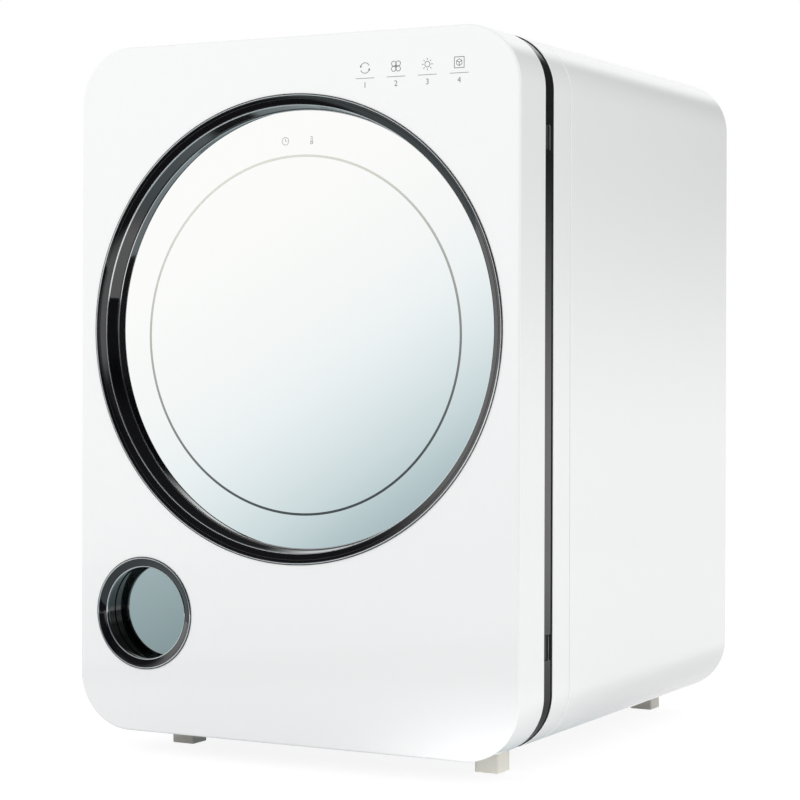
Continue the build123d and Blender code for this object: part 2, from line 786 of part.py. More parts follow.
with BuildPart() as chamber_liner:
    slab(
        liner_front_y,
        chamber_back_y + sheet,
        chamber_width + 2 * sheet,
        chamber_height + 2 * sheet,
        chamber_radius + sheet,
    )
    flange = (chamber_width + 2 * liner_rim, chamber_height + 2 * liner_rim, chamber_radius + liner_rim)
    slab(liner_front_y, liner_front_y + sheet, *flange)
    slab(liner_front_y, chamber_back_y, chamber_width, chamber_height, chamber_radius, Mode.SUBTRACT)
    disc(chamber_back_y, chamber_back_y + sheet, air_hole_radius, Mode.SUBTRACT, z=fan_z)
    with BuildSketch(facing(chamber_back_y, 0, chamber_top_z - vent_drop)):
        with GridLocations(10, vent_pitch, 1, vent_count):
            SlotOverall(vent_length, vent_height)
    extrude(amount=-sheet, mode=Mode.SUBTRACT)
    for name, plane in uv_places.items():
        with BuildSketch(plane):
            RectangleRounded(uv_length[name], uv_slot, 5)
        extrude(amount=-3 * sheet, mode=Mode.SUBTRACT)
save(chamber_liner, "chamber_liner")

# Lamps: a clear window over each slot, and behind it a housing with a row of ultraviolet LEDs
lens_thickness = 2.0
lamp_depth = 14.0
lamp_wall = 2.0
lens_lap = 4.0
led_pitch = 26.0
led_size = 5.0
led_height = 1.6
for name, plane in uv_places.items():
    lens_size = (uv_length[name] + 2 * lens_lap, uv_slot + 2 * lens_lap)
    with BuildPart() as uv_lens:
        with BuildSketch(plane):
            RectangleRounded(*lens_size, 3)
        extrude(amount=lens_thickness)
    save(uv_lens, f"uv_lens_{name}")
    with BuildPart() as uv_module:
        rim = 2 * (lamp_wall + fit_gap)
        with BuildSketch(plane):
            RectangleRounded(lens_size[0] + rim, lens_size[1] + rim, 4)
        extrude(amount=lamp_depth)
        with BuildSketch(plane):
            RectangleRounded(lens_size[0] + 2 * fit_gap, lens_size[1] + 2 * fit_gap, 3.2)
        extrude(amount=lamp_depth - lamp_wall, mode=Mode.SUBTRACT)
        with BuildSketch(plane.offset(lamp_depth - lamp_wall)):
            Rectangle(*lens_size)
        extrude(amount=-board_thickness)
        led_count = int(uv_length[name] // led_pitch)
        with BuildSketch(plane.offset(lamp_depth - lamp_wall - board_thickness)):
            with GridLocations(led_pitch, 10, led_count, 1):
                Rectangle(led_size, led_size)
        extrude(amount=-led_height)
        with BuildSketch(plane.offset(lamp_depth - lamp_wall - board_thickness - led_height)):
            with GridLocations(led_pitch, 10, led_count, 1):
                Circle(2)
        extrude(amount=-1.2, taper=30)
    save(uv_module, f"uv_module_{name}")

# Rails on the chamber's side walls, one pair for each rack, and two runners on the floor that lift
# the drip tray over the collar's edge
runner_height = 2 * slide_gap + collar_wall
rail_y = (liner_front_y + 8.0, chamber_back_y - 4.0)
lower_rail_z = chamber_floor_z + lower_deck
upper_rail_z = chamber_floor_z + upper_deck
with BuildPart() as rack_rails:
    for rail_z in (lower_rail_z, upper_rail_z):
        for side in (-1, 1):
            edge = sorted((side * half_chamber, side * (half_chamber - rail_width)))
            block(edge, rail_y, (rail_z - rail_height, rail_z))
    for side in (-1, 1):
        runner = (side * runner_x - rail_width / 2, side * runner_x + rail_width / 2)
        block(runner, rail_y, (chamber_floor_z, chamber_floor_z + runner_height))
save(rack_rails, "rack_rails")

# Wire racks: a rounded frame of thick wire with a deck of thin wires welded across it
rack_front_y = liner_front_y + 12.0
rack_back_y = chamber_back_y - 6.0
rack_half = half_chamber - rack_clearance
rack_mid_y = (rack_front_y + rack_back_y) / 2
rack_length = rack_back_y - rack_front_y
for rail_z, name in ((lower_rail_z, "lower_rack"), (upper_rail_z, "upper_rack")):
    with BuildPart() as rack:
        wire_z = rail_z + slide_gap + frame_wire / 2
        with BuildSketch(Plane.XY.offset(wire_z)) as loop:
            with Locations((0, rack_mid_y)):
                RectangleRounded(2 * rack_half - frame_wire, rack_length - frame_wire, 12)
        frame_path = loop.sketch.faces()[0].outer_wire()
        with BuildSketch(Plane(frame_path @ 0, z_dir=frame_path % 0)) as section:
            Circle(frame_wire / 2)
        sweep(section.sketch, path=frame_path)
        deck_pitch = (2 * rack_half - frame_wire) / (deck_wires + 1)
        for wire in range(deck_wires):
            wire_x = (wire - (deck_wires - 1) / 2) * deck_pitch
            with Locations(Location((wire_x, rack_mid_y, wire_z + deck_lift), (90, 0, 0))):
                Cylinder(deck_wire / 2, rack_length - frame_wire)
        for share in (-0.25, 0.25):
            bar_y = rack_mid_y + share * rack_length
            with Locations(Location((0, bar_y, wire_z - cross_drop), (0, 90, 0))):
                Cylinder(cross_wire / 2, 2 * rack_half - frame_wire)
    save(rack, name)

# Drip tray on the chamber floor: leaning walls inside the floor's rounded corners and a flat lip
tray_wall = 1.6
tray_lean = 12.0
tray_lip = 3.0
tray_z = chamber_floor_z + runner_height + slide_gap
tray_overlap = 3.0
tray_w = chamber_width - 2 * (chamber_radius - tray_overlap)
tray_bottom_radius = 5.0
tray_plan_radius = 12.0
tray_spread = 2 * tray_height * math.tan(math.radians(tray_lean))
with BuildPart() as drip_tray:
    with BuildSketch(Plane.XY.offset(tray_z)):
        with Locations((0, rack_mid_y)):
            RectangleRounded(tray_w, rack_length - tray_spread, tray_plan_radius)
    extrude(amount=tray_height, taper=-tray_lean)
    fillet(drip_tray.faces().sort_by(Axis.Z)[0].edges(), tray_bottom_radius)
    with BuildSketch(Plane.XY.offset(tray_z + tray_height - tray_wall)):
        with Locations((0, rack_mid_y)):
            lip_size = (tray_w + tray_spread + 2 * tray_lip, rack_length)
            RectangleRounded(*lip_size, tray_plan_radius + tray_lip)
    extrude(amount=tray_wall)
    with BuildPart(mode=Mode.PRIVATE) as tray_hollow:
        with BuildSketch(Plane.XY.offset(tray_z + tray_wall)):
            with Locations((0, rack_mid_y)):
                hollow_size = (tray_w - 2 * tray_wall, rack_length - tray_spread - 2 * tray_wall)
                RectangleRounded(*hollow_size, tray_plan_radius - tray_wall)
        extrude(amount=tray_height, taper=-tray_lean)
        fillet(tray_hollow.faces().sort_by(Axis.Z)[0].edges(), tray_bottom_radius - tray_wall)
    add(tray_hollow.part, mode=Mode.SUBTRACT)
save(drip_tray, "drip_tray")

# Air grille in the chamber's back wall: rings joined by spokes
grille_thickness = 3.0
grille_rim = 8.0
grille_gap = 6.0
grille_bar = 4.0
grille_rings = 2
grille_spokes = 8
spoke_width = 2.4
grille_hub = grille_radius - grille_rim - grille_gap - grille_rings * (grille_bar + grille_gap)
grille_y = chamber_back_y - grille_thickness
with BuildPart() as fan_grille:
    disc(grille_y, chamber_back_y, grille_radius, z=fan_z)
    disc(grille_y, chamber_back_y, grille_radius - grille_rim, Mode.SUBTRACT, z=fan_z)
    for ring in range(grille_rings):
        ring_edge = grille_hub + (ring + 1) * (grille_bar + grille_gap)
        with BuildSketch(facing(grille_y, 0, fan_z)):
            Circle(ring_edge)
            Circle(ring_edge - grille_bar, mode=Mode.SUBTRACT)
        extrude(amount=-grille_thickness)
    disc(grille_y, chamber_back_y, grille_hub, z=fan_z)
    spoke_length = grille_radius - grille_rim - grille_hub + 6.0
    with BuildSketch(facing(grille_y, 0, fan_z)):
        with PolarLocations((grille_radius - grille_rim + grille_hub) / 2 - 1.0, grille_spokes):
            Rectangle(spoke_length, spoke_width)
    extrude(amount=-grille_thickness)
save(fan_grille, "fan_grille")

with BuildPart() as temp_sensor:
    sensor_reach = grille_radius + 14.0
    sensor_drop = 23.0
    sensor_centre = (sensor_reach, upper_rail_z - sensor_drop)
    disc(chamber_back_y - 3.0, chamber_back_y, 5.0, x=sensor_centre[0], z=sensor_centre[1])
    disc(chamber_back_y - 9.0, chamber_back_y - 3.0, 2.4, x=sensor_centre[0], z=sensor_centre[1])
    fillet(temp_sensor.faces().sort_by(Axis.Y)[0].edges(), 1.6)
save(temp_sensor, "temp_sensor")

# Air duct behind the chamber: it holds the heater and the fan and ends at the filter
duct_y = chamber_back_y + sheet
duct_back_y = panel_y - sleeve_depth
duct_outer = duct_inner + 2 * duct_wall
with BuildPart() as air_duct:
    slab(duct_y, duct_y + 2.0, duct_outer + 14.0, duct_outer + 14.0, 5.0, z=fan_z)
    slab(duct_y, duct_back_y, duct_outer, duct_outer, 4.0, z=fan_z)
    slab(duct_y, duct_back_y, duct_inner, duct_inner, 1.5, Mode.SUBTRACT, z=fan_z)
save(air_duct, "air_duct")

# Heater: a frame with two heating bars and thin fins
heater_y = duct_y + 5.0
heater_depth = 12.0
heater_rim = 4.0
heater_bar = 8.0
heater_bar_pitch = 34.0
fin_pitch = 7.4
fin_thickness = 1.0
heater_bore = fan_size - 2 * heater_rim
fin_count = int(heater_bore // fin_pitch)
with BuildPart() as heater:
    slab(heater_y, heater_y + heater_depth, fan_size, fan_size, 2.0, z=fan_z)
    slab(heater_y, heater_y + heater_depth, heater_bore, heater_bore, 1.0, Mode.SUBTRACT, z=fan_z)
    with BuildSketch(facing(heater_y, 0, fan_z)):
        with GridLocations(10, heater_bar_pitch, 1, 2):
            Rectangle(heater_bore, heater_bar)
        with GridLocations(fin_pitch, 10, fin_count, 1):
            Rectangle(fin_thickness, heater_bore)
    extrude(amount=-heater_depth)
save(heater, "heater")

# Drying fan: a square frame with a round throat, four struts and a bearing tube
fan_y = heater_y + heater_depth + 6.0
fan_back_y = fan_y + fan_depth
strut_y = fan_back_y - 3.0
bearing_outer = 3.0
tube_radius = 4.4
with BuildPart() as fan_frame:
    slab(fan_y, fan_back_y, fan_size, fan_size, 4.0, z=fan_z)
    disc(fan_y, fan_back_y, fan_bore, Mode.SUBTRACT, z=fan_z)
    disc(strut_y - 1.0, fan_back_y, hub_radius - 1.0, z=fan_z)
    with BuildSketch(facing(strut_y, 0, fan_z)):
        with PolarLocations((hub_radius + fan_bore) / 2, 4, 45):
            Rectangle(fan_bore - hub_radius + 6, 4)
    extrude(amount=-(fan_back_y - strut_y))
    disc(fan_y + 8.0, strut_y, tube_radius, z=fan_z)
    disc(fan_y + 8.0, fan_back_y - 1.0, bearing_outer, Mode.SUBTRACT, z=fan_z)
save(fan_frame, "fan_frame")

with BuildPart() as fan_bearing:
    disc(fan_y + 8.0, fan_back_y - 1.0, bearing_outer, z=fan_z)
    disc(fan_y + 8.0, fan_back_y - 1.0, shaft_radius + running_gap, Mode.SUBTRACT, z=fan_z)
save(fan_bearing, "fan_bearing")

with BuildPart() as fan_stator:
    with BuildSketch(facing(fan_y + 9.0, 0, fan_z)):
        Circle(9.0)
        with PolarLocations(11.0, 4):
            Rectangle(6, 5)
            with Locations((3.4, 0)):
                Rectangle(2.2, 12)
        Circle(tube_radius + 0.1, mode=Mode.SUBTRACT)
    extrude(amount=-9.0)
save(fan_stator, "fan_stator")

# Fan rotor: a cup that runs over the stator, its shaft, and twisted blades lofted from the hub
# to the tip
with BuildPart() as fan_impeller:
    disc(fan_y + 2.0, fan_y + 19.0, hub_radius, z=fan_z)
    disc(fan_y + 4.5, fan_y + 19.0, hub_radius - 1.5, Mode.SUBTRACT, z=fan_z)
    disc(fan_y + 4.5, fan_back_y - 2.5, shaft_radius, z=fan_z)
    blade_mid_y = fan_y + 10.5
    for blade in range(blade_count):
        turn = 360.0 / blade_count * blade
        hub_plane = Plane(origin=(0, blade_mid_y, fan_z), x_dir=(0, 1, 0), z_dir=(0, 0, 1))
        with BuildSketch(hub_plane.offset(hub_radius - 0.8)) as root_section:
            Rectangle(14, 1.8, rotation=38)
        with BuildSketch(hub_plane.offset(blade_radius)) as tip_section:
            Rectangle(16, 1.2, rotation=58)
        with BuildPart(mode=Mode.PRIVATE) as one_blade:
            loft([root_section.sketch, tip_section.sketch], ruled=False)
        spin_axis = Axis((0, 0, fan_z), (0, 1, 0))
        add(one_blade.part.rotate(spin_axis, turn))
save(fan_impeller, "fan_impeller")

# Filter cassette: a louvred cover with a sleeve that slides into the back, and the pleated filter
filter_front_y = panel_y - sleeve_depth + 1.0
cover_y = panel_back_y + 0.4
cover_slot_length = filter_size - 22.0
cover_slot_height = 3.6
cover_slot_pitch = 9.0
cover_slot_count = 8
with BuildPart() as filter_cover:
    slab(cover_y, back_y - 0.4, filter_plate, filter_plate, 8.0, z=fan_z)
    fillet(filter_cover.faces().sort_by(Axis.Y)[-1].edges(), 1.2)
    slab(filter_front_y, cover_y, filter_size, filter_size, 2.6, z=fan_z)
    slab(filter_front_y, cover_y, filter_size - 4.0, filter_size - 4.0, 1.0, Mode.SUBTRACT, z=fan_z)
    with BuildSketch(facing(cover_y, 0, fan_z)):
        with GridLocations(10, cover_slot_pitch, 1, cover_slot_count):
            SlotOverall(cover_slot_length, cover_slot_height)
    extrude(amount=-(back_y - cover_y), mode=Mode.SUBTRACT)
save(filter_cover, "filter_cover")

with BuildPart() as air_filter:
    pleat_size = filter_size - 4.0 - 2 * slide_gap
    pleat_count = 16
    pleat_depth = cover_y - slide_gap - filter_front_y - 1.0
    pleat_pitch = pleat_size / pleat_count
    pleat_sheet = 1.2
    crests = []
    for fold in range(2 * pleat_count + 1):
        fold_x = -pleat_size / 2 + fold * pleat_pitch / 2
        crests.append((fold_x, filter_front_y + (pleat_sheet if fold % 2 else pleat_depth)))
    lower_line = [(x, y - pleat_sheet) for x, y in reversed(crests)]
    with BuildSketch(Plane.XY.offset(fan_z - pleat_size / 2)):
        with BuildLine():
            Polyline(*crests, *lower_line, close=True)
        make_face()
    extrude(amount=pleat_size)
save(air_filter, "air_filter")

# Control board under the chamber, on four standoffs
standoff = 8.0
board_air = 5.7
board_z = foot_height + shell_wall + standoff
board_x = (-95.0, 45.0)
board_y = (-40.0, 80.0)
board_centre = (sum(board_x) / 2, sum(board_y) / 2)
board_size = (board_x[1] - board_x[0], board_y[1] - board_y[0])
with BuildPart() as main_board:
    with BuildSketch(Plane.XY.offset(board_z)):
        with Locations(board_centre):
            RectangleRounded(*board_size, 3)
    extrude(amount=board_thickness)
    part_z = board_z + board_thickness
    part_room = chamber_floor_z - sheet - board_air - part_z
    transformer = (board_centre[0] - 42, board_centre[1] + 30)
    relay_row = (board_centre[0] + 40, board_centre[1] - 30)
    with BuildSketch(Plane.XY.offset(part_z)):
        with Locations(transformer):
            Rectangle(30, 26)
    extrude(amount=part_room)
    with BuildSketch(Plane.XY.offset(part_z)):
        with Locations(relay_row):
            with GridLocations(16, 22, 2, 2):
                Rectangle(12, 18)
    extrude(amount=part_room - 7)
    with BuildSketch(Plane.XY.offset(part_z)):
        with Locations((board_centre[0], board_centre[1] + 38)):
            with GridLocations(18, 10, 3, 1):
                Circle(6)
    extrude(amount=part_room - 2)
    with BuildSketch(Plane.XY.offset(part_z)):
        with Locations((board_centre[0] - 10, board_centre[1] - 20)):
            Rectangle(16, 16)
    extrude(amount=2)
save(main_board, "main_board")

with BuildPart() as board_standoffs:
    with BuildSketch(Plane.XY.offset(foot_height + shell_wall)):
        with Locations(board_centre):
            with GridLocations(board_size[0] - 10, board_size[1] - 10, 2, 2):
                Circle(3.5)
    extrude(amount=standoff)
save(board_standoffs, "board_standoffs")
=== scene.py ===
# %% [markdown]
# # A UV sterilizer for baby bottles
# The object is a tall white box with rounded corners. Its front is a thick door with a large
# round half-mirror window and a small round finger pull, and a glossy black frame shows between
# the door and the cabinet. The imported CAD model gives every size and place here. Blender adds
# what the eye judges: clean reflections on curved plastic, the finish of each material and the
# small printed marks.

import json
import math

import bmesh
import bpy
from mathutils import Matrix, Vector
from mathutils.geometry import tessellate_polygon


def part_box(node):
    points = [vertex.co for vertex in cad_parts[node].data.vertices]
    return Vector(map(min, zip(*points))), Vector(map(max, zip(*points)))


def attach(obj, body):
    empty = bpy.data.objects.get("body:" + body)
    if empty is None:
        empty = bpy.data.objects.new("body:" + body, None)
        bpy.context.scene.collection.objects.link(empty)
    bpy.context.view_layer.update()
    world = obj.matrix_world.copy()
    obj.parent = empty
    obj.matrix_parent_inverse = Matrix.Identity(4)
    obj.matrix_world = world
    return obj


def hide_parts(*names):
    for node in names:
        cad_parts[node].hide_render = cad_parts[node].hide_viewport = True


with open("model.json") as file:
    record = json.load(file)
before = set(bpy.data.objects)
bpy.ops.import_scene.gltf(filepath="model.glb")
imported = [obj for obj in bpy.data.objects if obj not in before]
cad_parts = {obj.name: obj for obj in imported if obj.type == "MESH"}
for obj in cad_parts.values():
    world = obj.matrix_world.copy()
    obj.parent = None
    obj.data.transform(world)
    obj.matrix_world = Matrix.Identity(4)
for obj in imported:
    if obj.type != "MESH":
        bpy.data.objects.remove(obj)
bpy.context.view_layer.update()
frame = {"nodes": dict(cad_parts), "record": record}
cad = frame["nodes"]
mm = 0.001

# %% [markdown]
# ## The view
# The photograph was taken from the right and from just above the middle of the door. The camera
# is level and its film is shifted a little. The lens is long, so the box hardly tapers. Fitting
# the straight edges and the two round rims gave the distance and the angle.

# %% The camera
door_low, door_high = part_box("door_shell")
face_y = door_low.y
mid_z = (door_low.z + door_high.z) / 2
half_width = door_high.x
half_height = (door_high.z - door_low.z) / 2
corner_radius = 36 * mm

camera_from_face = Vector((710.4, -1198.4, 25.8)) * mm
camera_yaw = math.radians(27.92)
camera_roll = math.radians(0.171)
lens_in_pixels = 2307.4
horizon_above_middle = 51.8
photo_side = 800.0


def add_object(name, data):
    """A new object in the scene, at the origin."""
    made = bpy.data.objects.new(name, data)
    bpy.context.scene.collection.objects.link(made)
    return made


def place_camera():
    """A level camera with a long lens, shifted so that the horizon is above the middle."""
    data = bpy.data.cameras.new("photo_camera")
    data.sensor_width = 36.0
    data.lens = data.sensor_width * lens_in_pixels / photo_side
    data.shift_y = -horizon_above_middle / photo_side
    camera = add_object("photo_camera", data)
    turn = Matrix.Rotation(camera_yaw, 4, "Z") @ Matrix.Rotation(math.radians(90), 4, "X")
    camera.matrix_world = (
        Matrix.Translation(Vector((0, face_y, mid_z)) + camera_from_face)
        @ turn
        @ Matrix.Rotation(camera_roll, 4, "Z")
    )
    bpy.context.scene.camera = camera
    return camera


camera = place_camera()
bpy.context.scene.view_settings.view_transform = "Standard"
print("lens", round(camera.data.lens, 1), "mm")

# %% [markdown]
# ## Writing shaders as sums
# A finish is easier to read as maths than as a web of nodes. The small class below wraps one
# output of a node, so that `mask * 0.3 + 0.1` adds the nodes it needs. Everything else comes from
# one function that makes any node from its type, its settings and its inputs.


# %% Maths on sockets
class Wire:
    """One output socket of a node tree that can be added, multiplied and remapped."""

    def __init__(self, tree, socket):
        self.tree = tree
        self.socket = socket

    def maths(self, operation, other):
        return add_node(self.tree, "ShaderNodeMath", {"operation": operation}, {0: self, 1: other})

    def __add__(self, other):
        return self.maths("ADD", other)

    def __sub__(self, other):
        return self.maths("SUBTRACT", other)

    def __mul__(self, other):
        return self.maths("MULTIPLY", other)

    def __truediv__(self, other):
        return self.maths("DIVIDE", other)

    def ramp(self, low, high, from_value=0.0, to_value=1.0):
        """Rises smoothly from one value to another while this wire goes from low to high."""
        return add_node(
            self.tree,
            "ShaderNodeMapRange",
            {"interpolation_type": "SMOOTHSTEP"},
            {
                "Value": self,
                "From Min": low,
                "From Max": high,
                "To Min": from_value,
                "To Max": to_value,
            },
        )

    __radd__ = __add__


def add_node(tree, kind, settings=None, inputs=None, output=0):
    """Adds any node: its settings first, then the values or links of its inputs."""
    node = tree.nodes.new(kind)
    for name, value in (settings or {}).items():
        if name == "stops":
            node.color_ramp.elements.remove(node.color_ramp.elements[1])
            node.color_ramp.elements[0].position, node.color_ramp.elements[0].color = value[0]
            for position, colour in value[1:]:
                node.color_ramp.elements.new(position).color = colour
        else:
            setattr(node, name, value)
    for name, value in (inputs or {}).items():
        if isinstance(value, Wire):
            tree.links.new(value.socket, node.inputs[name])
        else:
            node.inputs[name].default_value = value
    return Wire(tree, node.outputs[output]) if len(node.outputs) else None


def blend_colours(tree, factor, first, second):
    """Mixes two colours, each a tuple or a wire."""
    inputs = {0: factor, 6: first, 7: second}
    return add_node(tree, "ShaderNodeMix", {"data_type": "RGBA"}, inputs, output=2)


def split(tree, vector):
    """The three coordinates of a vector, each as a wire."""
    return [
        add_node(tree, "ShaderNodeSeparateXYZ", {}, {"Vector": vector}, output=k) for k in range(3)
    ]


def grey(level, tint=(1.0, 1.0, 1.0)):
    """An opaque colour of one level, which a tint can lean towards a hue."""
    return (level * tint[0], level * tint[1], level * tint[2], 1.0)


print("white is", grey(1.0))

# %% [markdown]
# ## A finish
# Every material here is one Principled shader. A finish starts from fixed numbers, and then a few
# wires add what the real surface shows: the faint orange peel of moulded plastic, the fine lines
# of rolled steel, or a print that fades. All patterns are read in the object's own metres, so
# they keep their real scale on every piece.


# %% The finish maker
finishes = {}


def new_finish(
    name, colour, roughness, metallic=0.0, coat=0.0, coat_roughness=0.03, ior=1.5, alpha=1.0
):
    """A material with fixed values on the Principled shader's own sockets."""
    finish = finishes[name] = bpy.data.materials.new(name)
    finish.use_nodes = True
    shader = finish.node_tree.nodes["Principled BSDF"]
    shader.inputs["Base Color"].default_value = colour
    shader.inputs["Roughness"].default_value = roughness
    shader.inputs["Metallic"].default_value = metallic
    shader.inputs["Coat Weight"].default_value = coat
    shader.inputs["Coat Roughness"].default_value = coat_roughness
    shader.inputs["IOR"].default_value = ior
    shader.inputs["Alpha"].default_value = alpha
    return finish


def drive(finish, **wires):
    """Links wires to sockets of the finish's Principled shader."""
    shader = finish.node_tree.nodes["Principled BSDF"]
    for name, wire in wires.items():
        finish.node_tree.links.new(wire.socket, shader.inputs[name.replace("_", " ")])


def metres(finish):
    """The object's own coordinates."""
    return add_node(finish.node_tree, "ShaderNodeTexCoord", output=3)


def grain(finish, scale, stretch=(1.0, 1.0, 1.0), detail=2.0):
    """Noise that can be stretched into lines, between 0 and 1."""
    tree = finish.node_tree
    place = add_node(tree, "ShaderNodeMapping", {}, {"Vector": metres(finish), "Scale": stretch})
    inputs = {"Vector": place, "Scale": scale, "Detail": detail}
    return add_node(tree, "ShaderNodeTexNoise", {}, inputs)


def relief(finish, height, depth):
    """A bump of a real depth in metres."""
    inputs = {"Height": height, "Strength": 1.0, "Distance": depth}
    return add_node(finish.node_tree, "ShaderNodeBump", {}, inputs)


def axis_of(finish, axis):
    """One coordinate of the object's place, as a number."""
    return split(finish.node_tree, metres(finish))["XYZ".index(axis)]


def hazed(name, colour, roughness, least, extra, scale, detail=2.0, band=None, **fixed):
    """A finish whose roughness drifts above its least value, by noise or a band of it."""
    finish = new_finish(name, colour, roughness, **fixed)
    haze = grain(finish, scale, detail=detail)
    drive(finish, Roughness=least + (haze.ramp(*band) if band else haze) * extra)


print("finish maker ready")

# %% [markdown]
# ## White moulded plastic
# The housing is glossy white ABS. Up close such a moulding isn't flat: it has a very shallow,
# slow waviness and a fine orange peel, which soften the edges of reflections. Both are a bump of
# a few thousandths of a millimetre, and the roughness drifts a little with them.

# %% White finishes
shell_white = (0.885, 0.887, 0.890, 1.0)
# The feet's colour is their beige plastic made darker by painted shade, for the shadow under the
# cabinet.
foot_colour_with_painted_shade = (0.64, 0.62, 0.565, 1.0)
cool_grey = (0.60, 0.62, 0.63, 1.0)
nylon_ivory = (0.74, 0.72, 0.62, 1.0)
peel_depth = 0.004 * mm


def white_plastic(name, colour, roughness, coat):
    """Moulded plastic with orange peel."""
    finish = new_finish(name, colour, roughness, coat=coat, coat_roughness=0.05)
    peel = grain(finish, 900.0, detail=1.0)
    drift = grain(finish, 14.0)
    drive(
        finish,
        Roughness=roughness - 0.03 + drift * 0.06,
        Normal=relief(finish, peel * 0.7 + drift * 0.3, peel_depth),
    )


white_plastic("white_shell", shell_white, 0.22, 0.85)
white_plastic("foot_plastic", foot_colour_with_painted_shade, 0.5, 0.0)
white_plastic("grey_plastic", cool_grey, 0.42, 0.0)
white_plastic("bearing_plastic", nylon_ivory, 0.5, 0.0)
print("white finishes", sorted(finishes))

# %% [markdown]
# ## Black mouldings
# The two round rims, the cup of the finger pull and the frame behind the door are piano black: a
# deep black with a clear, hard gloss. Handling leaves it slightly hazy, which shows as a faint
# change in roughness. Inner parts, such as the fan, have the dull black of glass-filled nylon.


# %% Black finishes
def dull_black():
    finish = new_finish("dark_plastic", grey(0.028), 0.48)
    spark = grain(finish, 1600.0, detail=1.0)
    drive(finish, Roughness=0.42 + spark * 0.14, Normal=relief(finish, spark, 0.02 * mm))


def frame_lacquer():
    """The frame behind the door: its clear coat fades out towards the floor, as painted shade on
    its reflection.
    """
    finish = new_finish("band_black", grey(0.005), 0.10, coat=1.0, coat_roughness=0.04, ior=1.12)
    finish.node_tree.nodes["Principled BSDF"].inputs["Coat IOR"].default_value = 1.7
    # Painted shade: the coat is full from 17 cm up and fades to none at the floor, which dims the
    # reflection low down.
    drive(finish, Coat_Weight=axis_of(finish, "Z").ramp(0.0, 0.17, 0.0, 1.0))


piano = {"coat": 0.6, "coat_roughness": 0.04, "ior": 1.52}
hazed("black_gloss", grey(0.006), 0.10, 0.07, 0.08, 40.0, 4.0, (0.35, 0.8), **piano)
# The two round rims have the same black, buffed after moulding.
buffed = {"coat": 1.0, "coat_roughness": 0.02}
rim_colour = grey(0.004, (1.0, 1.0, 1.4))
hazed("rim_black", rim_colour, 0.06, 0.05, 0.05, 60.0, 3.0, (0.4, 0.9), **buffed)
frame_lacquer()
dull_black()
print("black finishes ready")

# %% [markdown]
# ## Mirrors, glass and bright metal
# The big pane is glass with a thin metal coating, so with no light behind it it's a cool-toned
# mirror. The disc in the finger pull is the same mirror in a darker tint. What they reflect is
# the studio, which is white above and blue-grey towards the floor. Their colour also holds a
# painted reflection, light at the upper left and darker at the lower right.


# %% Mirror and glass finishes
def half_mirror(name, upper, lower, low, high, roughness):
    """A metal coating under glass, whose colour holds a painted reflection, darker towards the
    lower right edge.
    """
    finish = new_finish(name, upper, roughness, metallic=1.0, coat=0.3, coat_roughness=0.02)
    # Painted reflection: the colour blends from the light one at the upper left to the darker one
    # at the lower right.
    slope = axis_of(finish, "Z") - axis_of(finish, "X") * 0.45
    painted_reflection_share = slope.ramp(low, high)
    drive(finish, Base_Color=blend_colours(finish.node_tree, painted_reflection_share, lower, upper))


# Each pair is the mirror's tint with a painted reflection: light for the upper left, darker for the
# lower right.
pane_tint_painted_light = (0.97, 0.972, 0.968, 1.0)
pane_tint_painted_shade = (0.90, 0.945, 0.955, 1.0)
disc_tint_painted_light = (0.74, 0.82, 0.82, 1.0)
disc_tint_painted_shade = (0.50, 0.58, 0.58, 1.0)
half_mirror("window_mirror", pane_tint_painted_light, pane_tint_painted_shade, 0.12, 0.40, 0.035)
half_mirror("mirror_disc", disc_tint_painted_light, disc_tint_painted_shade, 0.08, 0.18, 0.05)

glass_tint = (0.93, 0.97, 0.975, 1.0)
thin = {"coat": 0.2, "alpha": 0.28}
hazed("clear_glass", glass_tint, 0.03, 0.02, 0.06, 22.0, 3.0, (0.45, 0.9), **thin)
hazed("bright_trim", (0.88, 0.88, 0.89, 1.0), 0.10, 0.05, 0.08, 70.0, 3.0, metallic=1.0)
print("mirror and glass finishes ready")

# %% [markdown]
# ## Steel inside
# The chamber is drawn from thin stainless sheet, with the fine lines that rolling leaves in it.
# They are noise stretched long and thin along one direction, which changes the roughness and adds
# a very shallow bump. Screws and brackets are zinc plated, which is greyer and has a soft crystal
# pattern.


# %% Metal finishes
def rolled_steel():
    finish = new_finish("stainless", (0.62, 0.63, 0.64, 1.0), 0.3, metallic=1.0)
    lines = grain(finish, 90.0, stretch=(1.0, 14.0, 14.0), detail=4.0)
    cloud = grain(finish, 9.0)
    dark, light = (0.58, 0.59, 0.60, 1.0), (0.68, 0.69, 0.70, 1.0)
    drive(
        finish,
        Base_Color=blend_colours(finish.node_tree, lines.ramp(0.3, 0.7), dark, light),
        Roughness=0.22 + lines * 0.16 + cloud * 0.05,
        Normal=relief(finish, lines, 0.006 * mm),
    )


def zinc_plate():
    finish = new_finish("zinc_steel", (0.56, 0.57, 0.59, 1.0), 0.34, metallic=1.0)
    inputs = {"Vector": metres(finish), "Scale": 700.0}
    crystals = add_node(finish.node_tree, "ShaderNodeTexVoronoi", {}, inputs)
    drive(finish, Roughness=0.28 + crystals * 0.2)


def winding_copper():
    finish = new_finish("motor_winding", (0.55, 0.22, 0.08, 1.0), 0.32, metallic=0.9)
    turns = grain(finish, 500.0, stretch=(0.2, 6.0, 1.0))
    drive(finish, Normal=relief(finish, turns, 0.1 * mm))


rolled_steel()
zinc_plate()
winding_copper()
hazed("heater_alloy", (0.72, 0.73, 0.74, 1.0), 0.36, 0.3, 0.15, 300.0, metallic=1.0)
print("metal finishes ready")

# %% [markdown]
# ## Soft and printed things
# The seal is matte silicone, the filter a pleated non-woven sheet, and the boards are green
# laminate with a faint weave. Marks on the door are a thin grey ink, printed straight on the
# plastic.


# %% Remaining finishes
def silicone():
    finish = new_finish("silicone", (0.55, 0.56, 0.57, 1.0), 0.6)
    dust = grain(finish, 260.0, detail=3.0)
    drive(finish, Roughness=0.52 + dust * 0.2, Normal=relief(finish, dust, 0.01 * mm))


